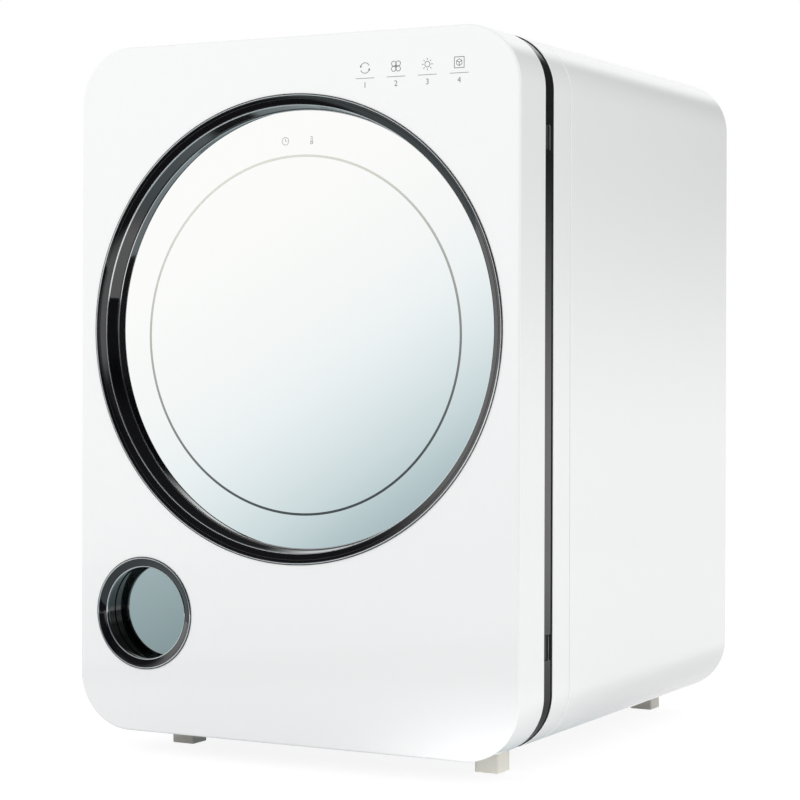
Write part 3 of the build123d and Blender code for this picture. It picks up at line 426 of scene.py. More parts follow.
def filter_sheet():
    finish = new_finish("filter_paper", (0.80, 0.80, 0.78, 1.0), 0.85)
    fibres = grain(finish, 420.0, stretch=(1.0, 1.0, 0.3), detail=6.0)
    dark, light = (0.70, 0.70, 0.68, 1.0), (0.88, 0.88, 0.86, 1.0)
    drive(
        finish,
        Base_Color=blend_colours(finish.node_tree, fibres, dark, light),
        Normal=relief(finish, fibres, 0.1 * mm),
    )


def board_laminate():
    finish = new_finish("circuit_board", (0.02, 0.16, 0.07, 1.0), 0.36, coat=0.2)
    weave = grain(finish, 700.0, stretch=(1.0, 4.0, 1.0))
    dark, light = (0.015, 0.12, 0.05, 1.0), (0.03, 0.2, 0.09, 1.0)
    drive(finish, Base_Color=blend_colours(finish.node_tree, weave, dark, light))


def fading_ink():
    """The printed ring on the pane, with a painted reflection: silver at its upper left, dark at
    its lower right.
    """
    finish = new_finish("fading_ink", grey(0.35), 0.3, metallic=0.4)
    # Painted reflection: the ink's colour blends from light at the upper left to dark at the lower
    # right.
    slope = axis_of(finish, "Z") - axis_of(finish, "X") * 0.3
    light = (0.80, 0.79, 0.73, 1.0)
    dark = (0.062, 0.075, 0.082, 1.0)
    drive(finish, Base_Color=blend_colours(finish.node_tree, slope.ramp(0.14, 0.40), dark, light))


silicone()
filter_sheet()
board_laminate()
fading_ink()
hazed("key_ink", grey(0.21), 0.45, 0.4, 0.12, 800.0)
hazed("pane_ink", (0.36, 0.38, 0.40, 1.0), 0.45, 0.4, 0.12, 800.0)
print("finishes", len(finishes))

# %% [markdown]
# ## Finishes on the CAD pieces
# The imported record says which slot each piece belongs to. Pieces whose CAD shape is right keep
# it, and only their material changes. The hinge brackets are painted dark, so that no bright
# sliver shows in the gap beside the frame.

# %% Dress the CAD pieces
slot_of = {entry["node"]: entry["material_slot"] for entry in frame["record"]["subparts"]}
for node, piece in cad.items():
    piece.data.materials.clear()
    piece.data.materials.append(finishes[slot_of[node]])
for node in ("hinge_bracket_top", "hinge_bracket_bottom"):
    cad[node].data.materials[0] = finishes["dark_plastic"]
cad["door_band"].data.materials[0] = finishes["band_black"]
print("dressed", len(cad), "pieces")

# %% [markdown]
# ## From points to a piece
# Three kinds of form make up the outside: flat marks, rings turned about an axis that points into
# the door, and frames whose section follows a rounded rectangle. Each has a small maker. They all
# end in the same function, which builds the mesh, smooths it between its sharp edges and joins it
# to the body that it moves with.


# %% Mesh makers
def finish_piece(name, points, faces, body, finish, slot=None, sharp=30.0):
    """A mesh from points and faces, smooth apart from edges sharper than the angle."""
    mesh = bpy.data.meshes.new(name)
    mesh.from_pydata([tuple(p) for p in points], [], faces)
    mesh.validate()
    build = bmesh.new()
    build.from_mesh(mesh)
    bmesh.ops.remove_doubles(build, verts=build.verts, dist=1e-7)
    bmesh.ops.recalc_face_normals(build, faces=build.faces)
    build.to_mesh(mesh)
    build.free()
    mesh.shade_smooth()
    mesh.set_sharp_from_angle(angle=math.radians(sharp))
    mesh.materials.append(finishes[finish])
    piece = add_object(name, mesh)
    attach(piece, body)
    slot = slot or finish
    return piece


def arc(centre, radius, start, end, steps):
    """Points of an arc in a plane, with angles in degrees."""
    angles = [math.radians(start + (end - start) * i / steps) for i in range(steps + 1)]
    return [(centre[0] + radius * math.cos(a), centre[1] + radius * math.sin(a)) for a in angles]


def circle(centre, radius, y, steps=256):
    """Points of a circle about an axis along Y, through centre (x, z)."""
    angles = [math.tau * i / steps for i in range(steps)]
    return [(centre[0] + radius * math.cos(a), y, centre[1] + radius * math.sin(a)) for a in angles]


def join_rings(rings, closed_profile):
    """Quads between rings of equal length, each ring closed on itself."""
    count = len(rings[0])
    points = [p for ring in rings for p in ring]
    faces = []
    pairs = len(rings) if closed_profile else len(rings) - 1
    for row in range(pairs):
        low, high = row * count, (row + 1) % len(rings) * count
        for i in range(count):
            j = (i + 1) % count
            faces.append((low + i, low + j, high + j, high + i))
    return points, faces


print("arc of 3 steps", arc((0, 0), 1, 0, 90, 3))

# %% [markdown]
# ## Turned rings
# A lathe part is one closed section turned about an axis. The section's corners are rounded
# first, with a short arc of a few tenths of a millimetre, because a real moulding has no
# perfectly sharp edge and each rounded edge catches a thin line of light.


# %% Lathe
def soften(corners, radius, steps=4):
    """Rounds each corner of a closed section, by a radius that fits its two sides."""
    made = []
    total = len(corners)
    for i in range(total):
        before, here, after = (Vector(corners[(i + k) % total]) for k in (-1, 0, 1))
        to_before, to_after = before - here, after - here
        opening = to_before.angle(to_after)
        if opening > math.radians(172):
            made.append(tuple(here))
            continue
        reach = radius / math.tan(opening / 2)
        reach = min(reach, to_before.length * 0.45, to_after.length * 0.45)
        start = here + to_before.normalized() * reach
        end = here + to_after.normalized() * reach
        for k in range(steps + 1):
            t = k / steps
            made.append(tuple(start * (1 - t) ** 2 + here * 2 * t * (1 - t) + end * t**2))
    return made


def turned(name, section, centre, body, finish, slot=None, soft=0.0, steps=256, sharp=30.0):
    """Turns a closed section of (radius, y) about an axis along Y through centre (x, z)."""
    section = soften(section, soft) if soft else section
    points, faces = join_rings([circle(centre, radius, y, steps) for radius, y in section], True)
    return finish_piece(name, points, faces, body, finish, slot, sharp)


print("softened square", len(soften([(0, 0), (1, 0), (1, 1), (0, 1)], 0.1)), "points")

# %% [markdown]
# ## Rounded frames
# The door, the black frame and the cabinet all follow one rounded rectangle, at different insets.
# A frame is a row of insets and depths, and each one becomes a ring of points. The straight sides
# get an extra point near each corner arc, so that the corner's curve doesn't bleed into the flat.


# %% Frame maker
arc_steps = 28
guard = 0.6 * mm


def rounded_outline(half_w, half_h, radius):
    """(x, z) points of a rounded rectangle with guard points beside each arc."""
    radius = max(radius, 0.2 * mm)
    outline = []
    corners = ((1, 1, 0), (-1, 1, 90), (-1, -1, 180), (1, -1, 270))
    for sign_x, sign_z, start in corners:
        centre = (sign_x * (half_w - radius), sign_z * (half_h - radius))
        bend = arc(centre, radius, start, start + 90, arc_steps)
        turn_in = math.radians(start)
        turn_out = math.radians(start + 90)
        (x, z), (end_x, end_z) = bend[0], bend[-1]
        first = (x + guard * math.sin(turn_in), z - guard * math.cos(turn_in))
        last = (end_x - guard * math.sin(turn_out), end_z + guard * math.cos(turn_out))
        outline += [first, *bend, last]
    return outline


def outline_ring(half_w, half_h, radius, y):
    """A rounded rectangle of any size at one depth."""
    return [(x, y, mid_z + z) for x, z in rounded_outline(half_w, half_h, radius)]


def frame_ring(inset, y):
    """The common rounded rectangle, moved inwards, at one depth."""
    return outline_ring(half_width - inset, half_height - inset, corner_radius - inset, y)


def framed(name, section, body, finish, slot=None, sharp=30.0):
    """A frame with a closed section of (inset, y)."""
    points, faces = join_rings([frame_ring(inset, y) for inset, y in section], True)
    return finish_piece(name, points, faces, body, finish, slot, sharp)


print("outline points", len(rounded_outline(0.1, 0.1, 0.02)))

# %% [markdown]
# ## The door
# The door front is one thick white moulding. Its flat face has two round holes, and the face
# turns into the side over a small radius. The flat is filled between the outline and the two
# circles, and one guard ring lies just inside the rounding, so that the flat stays perfectly flat
# in reflections.

# %% Door shell
window_low, window_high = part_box("window_bright_ring")
window = ((window_low.x + window_high.x) / 2, (window_low.z + window_high.z) / 2)
pull_low, pull_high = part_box("handle_bright_ring")
pull = ((pull_low.x + pull_high.x) / 2, (pull_low.z + pull_high.z) / 2)
door_back = door_high.y
door_wall = 3 * mm
door_edge = 1.3 * mm
back_edge = 0.3 * mm
window_hole = 139.2 * mm
pull_hole = 32.8 * mm


def make_door_shell():
    """The front's rounded edge, side and back lip, then its two pierced flats and the holes."""
    rounding = arc((door_edge, face_y + door_edge), door_edge, 270, 180, 8)
    section = [(door_edge + guard, face_y), *rounding]
    section += [(0, face_y + door_edge + guard), (0, door_back - back_edge - guard)]
    section += [(0, door_back - back_edge), (back_edge, door_back), (door_wall, door_back)]
    section += [(door_wall, face_y + door_wall)]
    outer = [frame_ring(inset, y) for inset, y in section]
    points, faces = join_rings(outer, False)
    holes = ((window, window_hole), (pull, pull_hole))
    for edge, y in ((outer[0], face_y), (outer[-1], face_y + door_wall)):
        loops = [edge, *(circle(centre, radius, y) for centre, radius in holes)]
        flat = [[Vector((x, z, 0)) for x, y, z in loop] for loop in loops]
        start = len(points)
        points += [p for loop in loops for p in loop]
        faces += [tuple(start + i for i in triangle) for triangle in tessellate_polygon(flat)]
    for centre, radius in holes:
        wall = [circle(centre, radius, y) for y in (face_y, face_y + door_wall)]
        wall_points, wall_faces = join_rings(wall, False)
        start = len(points)
        points += wall_points
        faces += [tuple(start + i for i in face) for face in wall_faces]
    return finish_piece("door_front", points, faces, "door", "white_shell")


door_front = make_door_shell()
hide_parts("door_shell")
print("door front", len(door_front.data.polygons), "faces")

# %% [markdown]
# ## The window
# A glossy black rim lies on the door and slopes down to the pane. Three thin bright beads run
# round it: on its outer edge, at the end of its slope and at its foot on the glass. Seen from the
# side, the mirror pane doubles the rim's inner wall, so the rim needs its true depth. All of
# these are lathe parts about the window's centre.

# %% Window rim, lip and pane
rim_low, rim_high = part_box("window_trim_ring")
pane_low, pane_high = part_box("window_glass")
rim_front = rim_low.y
pane_y = pane_low.y
lip_outer = (window_high.x - window_low.x) / 2
pane_radius = (pane_high.x - pane_low.x) / 2
sight = 135.4 * mm
barrel = 139.0 * mm

bead_width = 0.9 * mm
bead_steps = 10
edge_width = 0.5 * mm
groove_y = face_y - 0.25 * mm
pane_chamfer = 0.3 * mm


def grooved_edge(outer, front):
    """The outer edge of a black rim, with a shallow groove that a bright bead lies in."""
    inner = outer - edge_width - bead_width
    edge = [(outer, face_y), (outer, face_y - 0.45 * mm), (outer - edge_width, face_y - 0.5 * mm)]
    return edge + [(outer - edge_width, groove_y), (inner, groove_y), (inner, front)]


def bead(name, centre, middle, width, low, high):
    """A bright half-round bead on a circle, from its seat at one depth to its crown at another."""
    angles = [math.pi * i / bead_steps for i in range(bead_steps + 1)]
    crown = [(middle + width / 2 * math.cos(a), low + (high - low) * math.sin(a)) for a in angles]
    return turned(name, crown, centre, "door", "bright_trim", sharp=50.0)


def round_mirror(name, centre, radius, front, back, finish):
    """A round pane with a chamfer round its front."""
    section = [(0.0, front), (radius - pane_chamfer, front), (radius, front + pane_chamfer)]
    section += [(radius, back), (0.0, back)]
    return turned(name, section, centre, "door", finish)


seat = pane_radius + 0.2 * mm
rim_section = grooved_edge(lip_outer, rim_front)
rim_section += [(sight + 0.5 * mm, face_y + 2.0 * mm), (sight, face_y + 2.8 * mm)]
rim_section += [(sight - 1.4 * mm, pane_y - 0.8 * mm), (sight - 1.9 * mm, pane_y)]
rim_section += [(seat, pane_y), (seat, rim_high.y), (barrel, rim_high.y), (barrel, face_y)]
window_rim = turned(
    "window_rim", rim_section, window, "door", "rim_black", "black_gloss", soft=0.12 * mm
)
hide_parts("window_trim_ring")

bead_middle = lip_outer - edge_width - bead_width / 2
window_lip = bead("window_lip", window, bead_middle, bead_width, groove_y, rim_front)
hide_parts("window_bright_ring")
slope_end = (face_y + 2.7 * mm, face_y + 1.9 * mm)
bead("window_sight", window, sight + 0.15 * mm, 0.8 * mm, *slope_end)
bead("window_foot", window, sight - 2.0 * mm, 0.7 * mm, pane_y, pane_y - 0.45 * mm)

window_pane = round_mirror(
    "window_pane", window, pane_radius, pane_y, pane_high.y, "window_mirror"
)
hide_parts("window_glass")
print("window of", round(lip_outer * 2000), "mm")

# %% [markdown]
# ## The finger pull
# A smaller rim of the same kind, with two bright beads. It stands over a cup with an undercut for
# the fingertips, and a dark mirror disc closes the bottom.

# %% Rim, lip, cup and disc of the pull
pull_rim_low, pull_rim_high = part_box("handle_trim_ring")
cup_low, cup_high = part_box("handle_cup")
disc_low, disc_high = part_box("handle_disc")
pull_lip_outer = (pull_high.x - pull_low.x) / 2
disc_radius = (disc_high.x - disc_low.x) / 2
pull_opening = 28.5 * mm
pull_barrel = 32.6 * mm
cup_wall = disc_radius + 0.2 * mm
cup_plate = 2.0 * mm
cup_flange = pull_barrel + 5.5 * mm

slope_foot = pull_opening + 1.0 * mm
pull_rim_section = grooved_edge(pull_lip_outer, pull_rim_low.y)
pull_rim_section += [(slope_foot, face_y + 1.2 * mm), (slope_foot, face_y + 1.6 * mm)]
pull_rim_section += [(pull_opening, face_y + 1.7 * mm), (pull_opening, pull_rim_high.y)]
pull_rim_section += [(pull_barrel, pull_rim_high.y), (pull_barrel, face_y)]
pull_rim = turned(
    "pull_rim", pull_rim_section, pull, "door", "rim_black", "black_gloss", soft=0.1 * mm
)
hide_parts("handle_trim_ring")

pull_bead_middle = pull_lip_outer - edge_width - bead_width / 2
pull_lip = bead("pull_lip", pull, pull_bead_middle, bead_width, groove_y, pull_low.y)
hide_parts("handle_bright_ring")
slope_end = (face_y + 1.65 * mm, face_y + 1.0 * mm)
bead("pull_inner_lip", pull, pull_opening + 0.5 * mm, bead_width, *slope_end)

cup_outer = cup_wall + cup_plate
cup_section = [(cup_wall, cup_low.y), (cup_flange, cup_low.y), (cup_flange, cup_low.y + cup_plate)]
cup_section += [(cup_outer, cup_low.y + cup_plate), (cup_outer, cup_high.y), (0.0, cup_high.y)]
cup_section += [(0.0, disc_high.y), (cup_wall, disc_high.y)]
pull_cup = turned("pull_cup", cup_section, pull, "door", "black_gloss")
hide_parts("handle_cup")

pull_disc = round_mirror(
    "pull_disc", pull, disc_radius, disc_low.y, disc_high.y, "mirror_disc"
)
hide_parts("handle_disc")
print("finger pull of", round(pull_lip_outer * 2000), "mm")

# %% [markdown]
# ## The cabinet
# Behind the black frame come a narrow white front and the long outer shell, with a hair-thin seam
# between them. Both are frames on the same rounded rectangle, so their edges line up with the
# door. A dark strip on the front's edge closes the gap that would show beside the frame.

# %% Cabinet front
front_low, front_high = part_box("front_bezel")
mouth_half_w = 124.2 * mm
mouth_half_h = 173.2 * mm
mouth_radius = 14.2 * mm
front_plate = 3.0 * mm
front_wall = 4.2 * mm
front_depth = 24.0 * mm
front_edge = 0.5 * mm
tongue_inset = 2.7 * mm
collar_wall = 1.5 * mm
collar_back = front_low.y + 9.0 * mm
seam_edge = 0.55 * mm


def mouth_ring(margin, y):
    """The chamber's mouth, made larger by a margin, at one depth."""
    return outline_ring(mouth_half_w + margin, mouth_half_h + margin, mouth_radius + margin, y)


def make_cabinet_front():
    """The frame round the chamber's mouth, from its outer edge round to the tongue in the shell."""
    back = front_low.y + front_depth
    outside = arc((front_edge, front_low.y + front_edge), front_edge, 270, 180, 5)
    outside = [(front_edge + guard, front_low.y), *outside]
    outside += [(0, front_low.y + front_edge + guard), (0, back - seam_edge - guard)]
    outside += arc((seam_edge, back - seam_edge), seam_edge, 180, 90, 5)
    outside += [(tongue_inset, back), (tongue_inset, front_high.y), (front_wall, front_high.y)]
    outside += [(front_wall, front_low.y + front_plate)]
    rings = [frame_ring(inset, y) for inset, y in outside]
    rings += [mouth_ring(collar_wall, y) for y in (front_low.y + front_plate, collar_back)]
    rings += [mouth_ring(0.0, y) for y in (collar_back, front_low.y + 0.8 * mm)]
    rings += [mouth_ring(0.25 * mm, front_low.y + 0.2 * mm), mouth_ring(0.8 * mm, front_low.y)]
    points, faces = join_rings(rings, True)
    return finish_piece("cabinet_front", points, faces, "cabinet", "white_shell")


cabinet_front = make_cabinet_front()
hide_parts("front_bezel")

seal_front = front_low.y - 0.55 * mm
seal_insets = (0.4 * mm, 2.3 * mm)
seal_section = [(seal_insets[0], front_low.y), (seal_insets[0], seal_front)]
seal_section += [(seal_insets[1], seal_front), (seal_insets[1], front_low.y)]
framed("front_seal", seal_section, "cabinet", "dark_plastic", "black_gloss")
print("cabinet front", len(cabinet_front.data.polygons), "faces")

# %% Outer shell
shell_low, shell_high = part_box("outer_shell")
shell_wall = 2.5 * mm
rear_edge = 2.2 * mm
flange_inset = 8.5 * mm
flange_back = shell_high.y - 7 * mm
flange_front = shell_high.y - 10 * mm


def make_outer_shell():
    """The shell's seam edge, its side and rounded rear edge, and the flange for the rear panel."""
    rounding = arc((rear_edge, shell_high.y - rear_edge), rear_edge, 180, 90, 8)
    lead_in = arc((seam_edge, shell_low.y + seam_edge), seam_edge, 270, 180, 5)
    section = [(shell_wall, shell_low.y), *lead_in]
    section += [(0, shell_low.y + seam_edge + guard), (0, shell_high.y - rear_edge - guard)]
    section += [*rounding, (shell_wall, shell_high.y), (shell_wall, flange_back)]
    section += [(flange_inset, flange_back), (flange_inset, flange_front)]
    section += [(shell_wall, flange_front)]
    return framed("cabinet_shell", section, "cabinet", "white_shell")


cabinet_shell = make_outer_shell()
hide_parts("outer_shell")
print("shell", len(cabinet_shell.data.polygons), "faces")

# %% [markdown]
# ## Screws as a repeated part
# The rear panel, the black frame and the feet are held by small screws with a cross recess. One
# tree of Geometry Nodes makes them all: it cuts a head from a short cone, puts a copy on each
# point and turns each copy by a random angle, as screws end up when they are driven home. The
# tree's own inputs give the head's size, the way it faces and the seed.


# %% Screw tree
recess_length = 1.1
recess_width = 0.26
head_top = 0.72


def screw_tree():
    """Geometry Nodes that put a cross-recessed head on each point, and the names of its inputs."""
    tree = bpy.data.node_groups.new("screw_heads", "GeometryNodeTree")
    sockets = {}
    for name, kind in (
        ("Places", "Geometry"),
        ("Head Radius", "Float"),
        ("Head Height", "Float"),
        ("Facing", "Vector"),
        ("Seed", "Int"),
        ("Finish", "Material"),
    ):
        made = tree.interface.new_socket(name, in_out="INPUT", socket_type="NodeSocket" + kind)
        sockets[name] = made.identifier
    tree.interface.new_socket("Screws", in_out="OUTPUT", socket_type="NodeSocketGeometry")
    given = tree.nodes.new("NodeGroupInput")
    places, radius, height, facing, seed, finish = (Wire(tree, given.outputs[i]) for i in range(6))
    cone = {"Vertices": 24, "Radius Top": radius * head_top}
    cone |= {"Radius Bottom": radius, "Depth": height}
    head = add_node(tree, "GeometryNodeMeshCone", {"fill_type": "NGON"}, cone)
    cut = tree.nodes.new("GeometryNodeMeshBoolean")
    cut.operation = "DIFFERENCE"
    tree.links.new(head.socket, cut.inputs["Mesh 1"])
    long_side, short_side = radius * recess_length, radius * recess_width
    lift = add_node(tree, "ShaderNodeCombineXYZ", {}, {"Z": height})
    for x, y in ((long_side, short_side), (short_side, long_side)):
        size = add_node(tree, "ShaderNodeCombineXYZ", {}, {"X": x, "Y": y, "Z": height})
        bar = add_node(tree, "GeometryNodeMeshCube", {}, {"Size": size})
        bar = add_node(tree, "GeometryNodeTransform", {}, {"Geometry": bar, "Translation": lift})
        tree.links.new(bar.socket, cut.inputs["Mesh 2"])
    quarter = {2: 0.0, 3: math.pi / 2, "Seed": seed}
    angle = add_node(tree, "FunctionNodeRandomValue", {"data_type": "FLOAT"}, quarter, 1)
    spin = add_node(tree, "ShaderNodeCombineXYZ", {}, {"Z": angle})
    spin = add_node(tree, "FunctionNodeEulerToRotation", {}, {0: spin})
    facing = add_node(tree, "FunctionNodeEulerToRotation", {}, {0: facing})
    local = {"rotation_space": "LOCAL"}
    turn = add_node(tree, "FunctionNodeRotateRotation", local, {0: facing, 1: spin})
    copied = {"Points": places, "Instance": Wire(tree, cut.outputs[0]), "Rotation": turn}
    copies = add_node(tree, "GeometryNodeInstanceOnPoints", {}, copied)
    solid = add_node(tree, "GeometryNodeRealizeInstances", {}, {"Geometry": copies})
    dress = {"Geometry": solid, "Material": finish}
    dressed = add_node(tree, "GeometryNodeSetMaterial", {}, dress)
    done = tree.nodes.new("NodeGroupOutput")
    tree.links.new(dressed.socket, done.inputs[0])
    return tree, sockets


screw_group, screw_sockets = screw_tree()
print("screw tree with", len(screw_group.nodes), "nodes")


# %% Screws in place
head_height = 2.0 * mm
touching = 0.2 * mm


def islands(piece):
    """The separate parts of a mesh, each as its lowest and highest corner."""
    mesh = piece.data
    parent = list(range(len(mesh.vertices)))

    def root(i):
        while parent[i] != i:
            parent[i] = parent[parent[i]]
            i = parent[i]
        return i

    for edge in mesh.edges:
        a, b = root(edge.vertices[0]), root(edge.vertices[1])
        parent[max(a, b)] = min(a, b)
    groups = {}
    for vertex in mesh.vertices:
        groups.setdefault(root(vertex.index), []).append(piece.matrix_world @ vertex.co)
    return [
        tuple(Vector(pick(p[k] for p in group) for k in range(3)) for pick in (min, max))
        for group in groups.values()
    ]


def lies_in(place, low, high):
    """Whether a place is in a box, or nearly so."""
    return all(low[k] - touching <= place[k] <= high[k] + touching for k in range(3))


def merge_touching(boxes):
    """Boxes that lie in each other, as the split faces of one screw do, become one."""
    merged = []
    for low, high in sorted(boxes, key=lambda box: -(box[1] - box[0]).length):
        if not any(lies_in((low + high) / 2, *box) for box in merged):
            merged.append((low, high))
    return merged


def settled_mesh(carrier):
    """The mesh that an object's curves or modifiers give. The object itself is taken away."""
    bpy.context.view_layer.update()
    graph = bpy.context.evaluated_depsgraph_get()
    mesh = bpy.data.meshes.new_from_object(carrier.evaluated_get(graph))
    bpy.data.objects.remove(carrier)
    return mesh


def drive_screws(node, body, facing, seed):
    """Screw heads at the CAD screws' places, as one plain mesh that replaces them."""
    backwards = facing == "back"
    found = merge_touching(islands(cad[node]))
    radius = (found[0][1].x - found[0][0].x) / 2
    bases = []
    for low, high in found:
        middle = (low + high) / 2
        if backwards:
            bases.append((middle.x, high.y - head_height, middle.z))
        else:
            bases.append((middle.x, middle.y, low.z + head_height))
    points = bpy.data.meshes.new(node + "_places")
    points.from_pydata(bases, [], [])
    carrier = add_object(node + "_places", points)
    modifier = carrier.modifiers.new("screws", "NODES")
    modifier.node_group = screw_group
    modifier[screw_sockets["Head Radius"]] = radius
    modifier[screw_sockets["Head Height"]] = head_height
    modifier[screw_sockets["Facing"]] = (-math.pi / 2, 0, 0) if backwards else (math.pi, 0, 0)
    modifier[screw_sockets["Seed"]] = seed
    modifier[screw_sockets["Finish"]] = finishes["zinc_steel"]
    mesh = settled_mesh(carrier)
    screws = add_object(node + "_driven", mesh)
    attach(screws, body)
    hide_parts(node)
    return len(bases), len(mesh.polygons), round(radius * 2000, 2)


print("rear panel", drive_screws("rear_screws", "cabinet", "back", 3))
print("black frame", drive_screws("band_screws", "door", "back", 5))
print("feet", drive_screws("foot_screws", "cabinet", "down", 7))

# %% [markdown]
# ## Marks on the door
# Four touch keys sit in a row at the upper right. Each has a small drawn sign, a thin line and a
# plain number. The signs are drawn here as flat strips: a turning circle, a fan, a sun and a box.


# %% Flat strips
class Drawing:
    """Flat strips on a plane that faces the viewer, gathered into one mesh."""

    def __init__(self, y):
        self.y = y
        self.points = []
        self.faces = []

    def fill(self, corners):
        """A filled polygon from (x, z) corners, turning anticlockwise."""
        start = len(self.points)
        self.points += [(x, self.y, z) for x, z in corners]
        self.faces.append(tuple(range(start, start + len(corners))))

    def stroke(self, path, width, closed=False):
        """A line of even width along (x, z) points."""
        count = len(path)
        left, right = [], []
        for i in range(count):
            if closed:
                before, after = path[i - 1], path[(i + 1) % count]
            else:
                before, after = path[max(i - 1, 0)], path[min(i + 1, count - 1)]
            along = Vector((after[0] - before[0], after[1] - before[1])).normalized()
            side = Vector((-along.y, along.x)) * width / 2
            left.append((path[i][0] + side.x, path[i][1] + side.y))
            right.append((path[i][0] - side.x, path[i][1] - side.y))
        for i in range(count if closed else count - 1):
            j = (i + 1) % count
            self.fill([right[i], right[j], left[j], left[i]])

    def ring(self, centre, radius, width, start=0.0, end=360.0, steps=48):
        whole = end - start >= 360.0
        path = arc(centre, radius, start, end, steps)
        self.stroke(path[:-1] if whole else path, width, closed=whole)

    def piece(self, name, finish, slot):
        return finish_piece(name, self.points, self.faces, "door", finish, slot)


def turning_circle(drawing, centre, size, line):
    """Two arcs that chase each other, each with an arrow head."""
    for start in (25.0, 205.0):
        drawing.ring(centre, size * 0.86, line, start, start + 130.0, 24)
        tip = arc(centre, size * 0.86, start + 130.0, start + 152.0, 1)
        inner = arc(centre, size * 0.62, start + 128.0, start + 129.0, 1)[0]
        outer = arc(centre, size * 1.10, start + 128.0, start + 129.0, 1)[0]
        drawing.fill([tip[1], inner, outer])


def fan_sign(drawing, centre, size, line):
    """Four round blades about a small hub."""
    for lobe in arc(centre, size * 0.60, 45, 315, 3):
        drawing.ring(lobe, size * 0.41, line, steps=24)
    drawing.ring(centre, size * 0.10, line, steps=16)


def sun_sign(drawing, centre, size, line):
    """A ring with eight rays."""
    drawing.ring(centre, size * 0.46, line, steps=32)
    for ends in zip(arc(centre, size * 0.70, 0, 315, 7), arc(centre, size, 0, 315, 7)):
        drawing.stroke(ends, line)


def box_sign(drawing, centre, size, line):
    """A cube seen from a corner, in a square."""
    half = size * 0.88
    corners = ((1, 1), (-1, 1), (-1, -1), (1, -1))
    square = [(centre[0] + x * half, centre[1] + z * half) for x, z in corners]
    for i in range(4):
        drawing.stroke([square[i], square[(i + 1) % 4]], line)
    hexagon = arc(centre, size * 0.55, 30, 390, 6)[:-1]
    drawing.stroke(hexagon, line, closed=True)
    for corner in (hexagon[0], hexagon[2], hexagon[4]):
        drawing.stroke([centre, corner], line)


print("four signs ready")

# %% Key marks
ink_lift = 0.04 * mm
key_x = [x * mm for x in (51.3, 72.1, 92.9, 113.7)]
sign_z = mid_z + 191.8 * mm
line_z = mid_z + 185.7 * mm
number_z = mid_z + 181.5 * mm
sign_size = 3.6 * mm
sign_line = 0.42 * mm
underline_half = 6.2 * mm
underline_width = 0.32 * mm
number_height = 3.4 * mm
digit_share = 0.7


def add_number(drawing, text, centre, height):
    """Adds a plain number to a drawing, centred on a place on the door."""
    curve = bpy.data.curves.new("number", "FONT")
    curve.body = text
    curve.align_x = "CENTER"
    curve.align_y = "CENTER"
    curve.size = height / digit_share
    curve.resolution_u = 6
    flat = settled_mesh(add_object("number", curve))
    start = len(drawing.points)
    drawing.points += [(centre[0] + v.co.x, drawing.y, centre[1] + v.co.y) for v in flat.vertices]
    drawing.faces += [tuple(start + i for i in p.vertices) for p in flat.polygons]
    bpy.data.meshes.remove(flat)


key_drawing = Drawing(face_y - ink_lift)
signs = (turning_circle, fan_sign, sun_sign, box_sign)
for number, (x, sign) in enumerate(zip(key_x, signs), start=1):
    sign(key_drawing, (x, sign_z), sign_size, sign_line)
    underline = [(x - underline_half, line_z), (x + underline_half, line_z)]
    key_drawing.stroke(underline, underline_width)
    add_number(key_drawing, str(number), (x, number_z), number_height)
key_marks = key_drawing.piece("key_marks", "key_ink", "white_shell")
print("key marks", len(key_marks.data.polygons), "faces")

# %% [markdown]
# ## Marks on the pane
# A thin ring is printed on the pane, a little below its centre. Its colour is a painted
# reflection, silver at the upper left and dark at the lower right. Above it two tiny signs, a
# clock and a thermometer, say where the time and the temperature light up.

# %% Pane marks
print_radius = 109.0 * mm
print_drop = 3.4 * mm
print_width = 1.5 * mm
pane_sign_z = mid_z + 151.8 * mm
clock = (-10.8 * mm, pane_sign_z)
bulb = (7.7 * mm, pane_sign_z - 1.5 * mm)
clock_line = 0.35 * mm
stem_half = 0.5 * mm
stem_low = bulb[1] + 0.8 * mm
stem_high = bulb[1] + 3.4 * mm

ring_drawing = Drawing(pane_y - ink_lift)
ring_drawing.ring((window[0], window[1] - print_drop), print_radius, print_width, steps=256)
# The ring's ink carries a painted reflection, light at the upper left and dark at the lower right.
ring_drawing.piece("pane_ring", "fading_ink", "window_mirror")

sign_drawing = Drawing(pane_y - ink_lift)
sign_drawing.ring(clock, 2.3 * mm, clock_line)
for hand_end in ((clock[0], clock[1] + 1.6 * mm), (clock[0] + 1.2 * mm, clock[1])):
    sign_drawing.stroke([clock, hand_end], clock_line)
sign_drawing.ring(bulb, 0.8 * mm, 0.5 * mm, steps=24)
stem = [(bulb[0] - stem_half, stem_low), (bulb[0] - stem_half, stem_high)]
stem += arc((bulb[0], stem_high), stem_half, 180, 0, 8)
stem += [(bulb[0] + stem_half, stem_low)]
sign_drawing.stroke(stem, 0.3 * mm)
sign_drawing.piece("pane_signs", "pane_ink", "window_mirror")
print("pane marks ready")

# %% [markdown]
# ## Studio
# The floor and the background are white. The camera sees them as plain white, and the floor keeps
# a soft shadow. Mirrors and gloss see a studio that is white above and turns blue-grey towards
# the floor at the front, as the photograph's reflections show. So the world and the floor each
# have two colours: one that lights the object and one that it mirrors, which depends on the
# direction or on the place on the floor. Light on the object is soft and comes from a large lamp
# at the upper left, a weaker one low on the right and a narrow one that reaches under the door to
# the near foot.


# %% World
def rays(tree):
    """Whether a ray comes from the camera, and whether it's a reflection."""
    return [add_node(tree, "ShaderNodeLightPath", output=k) for k in (0, 3)]


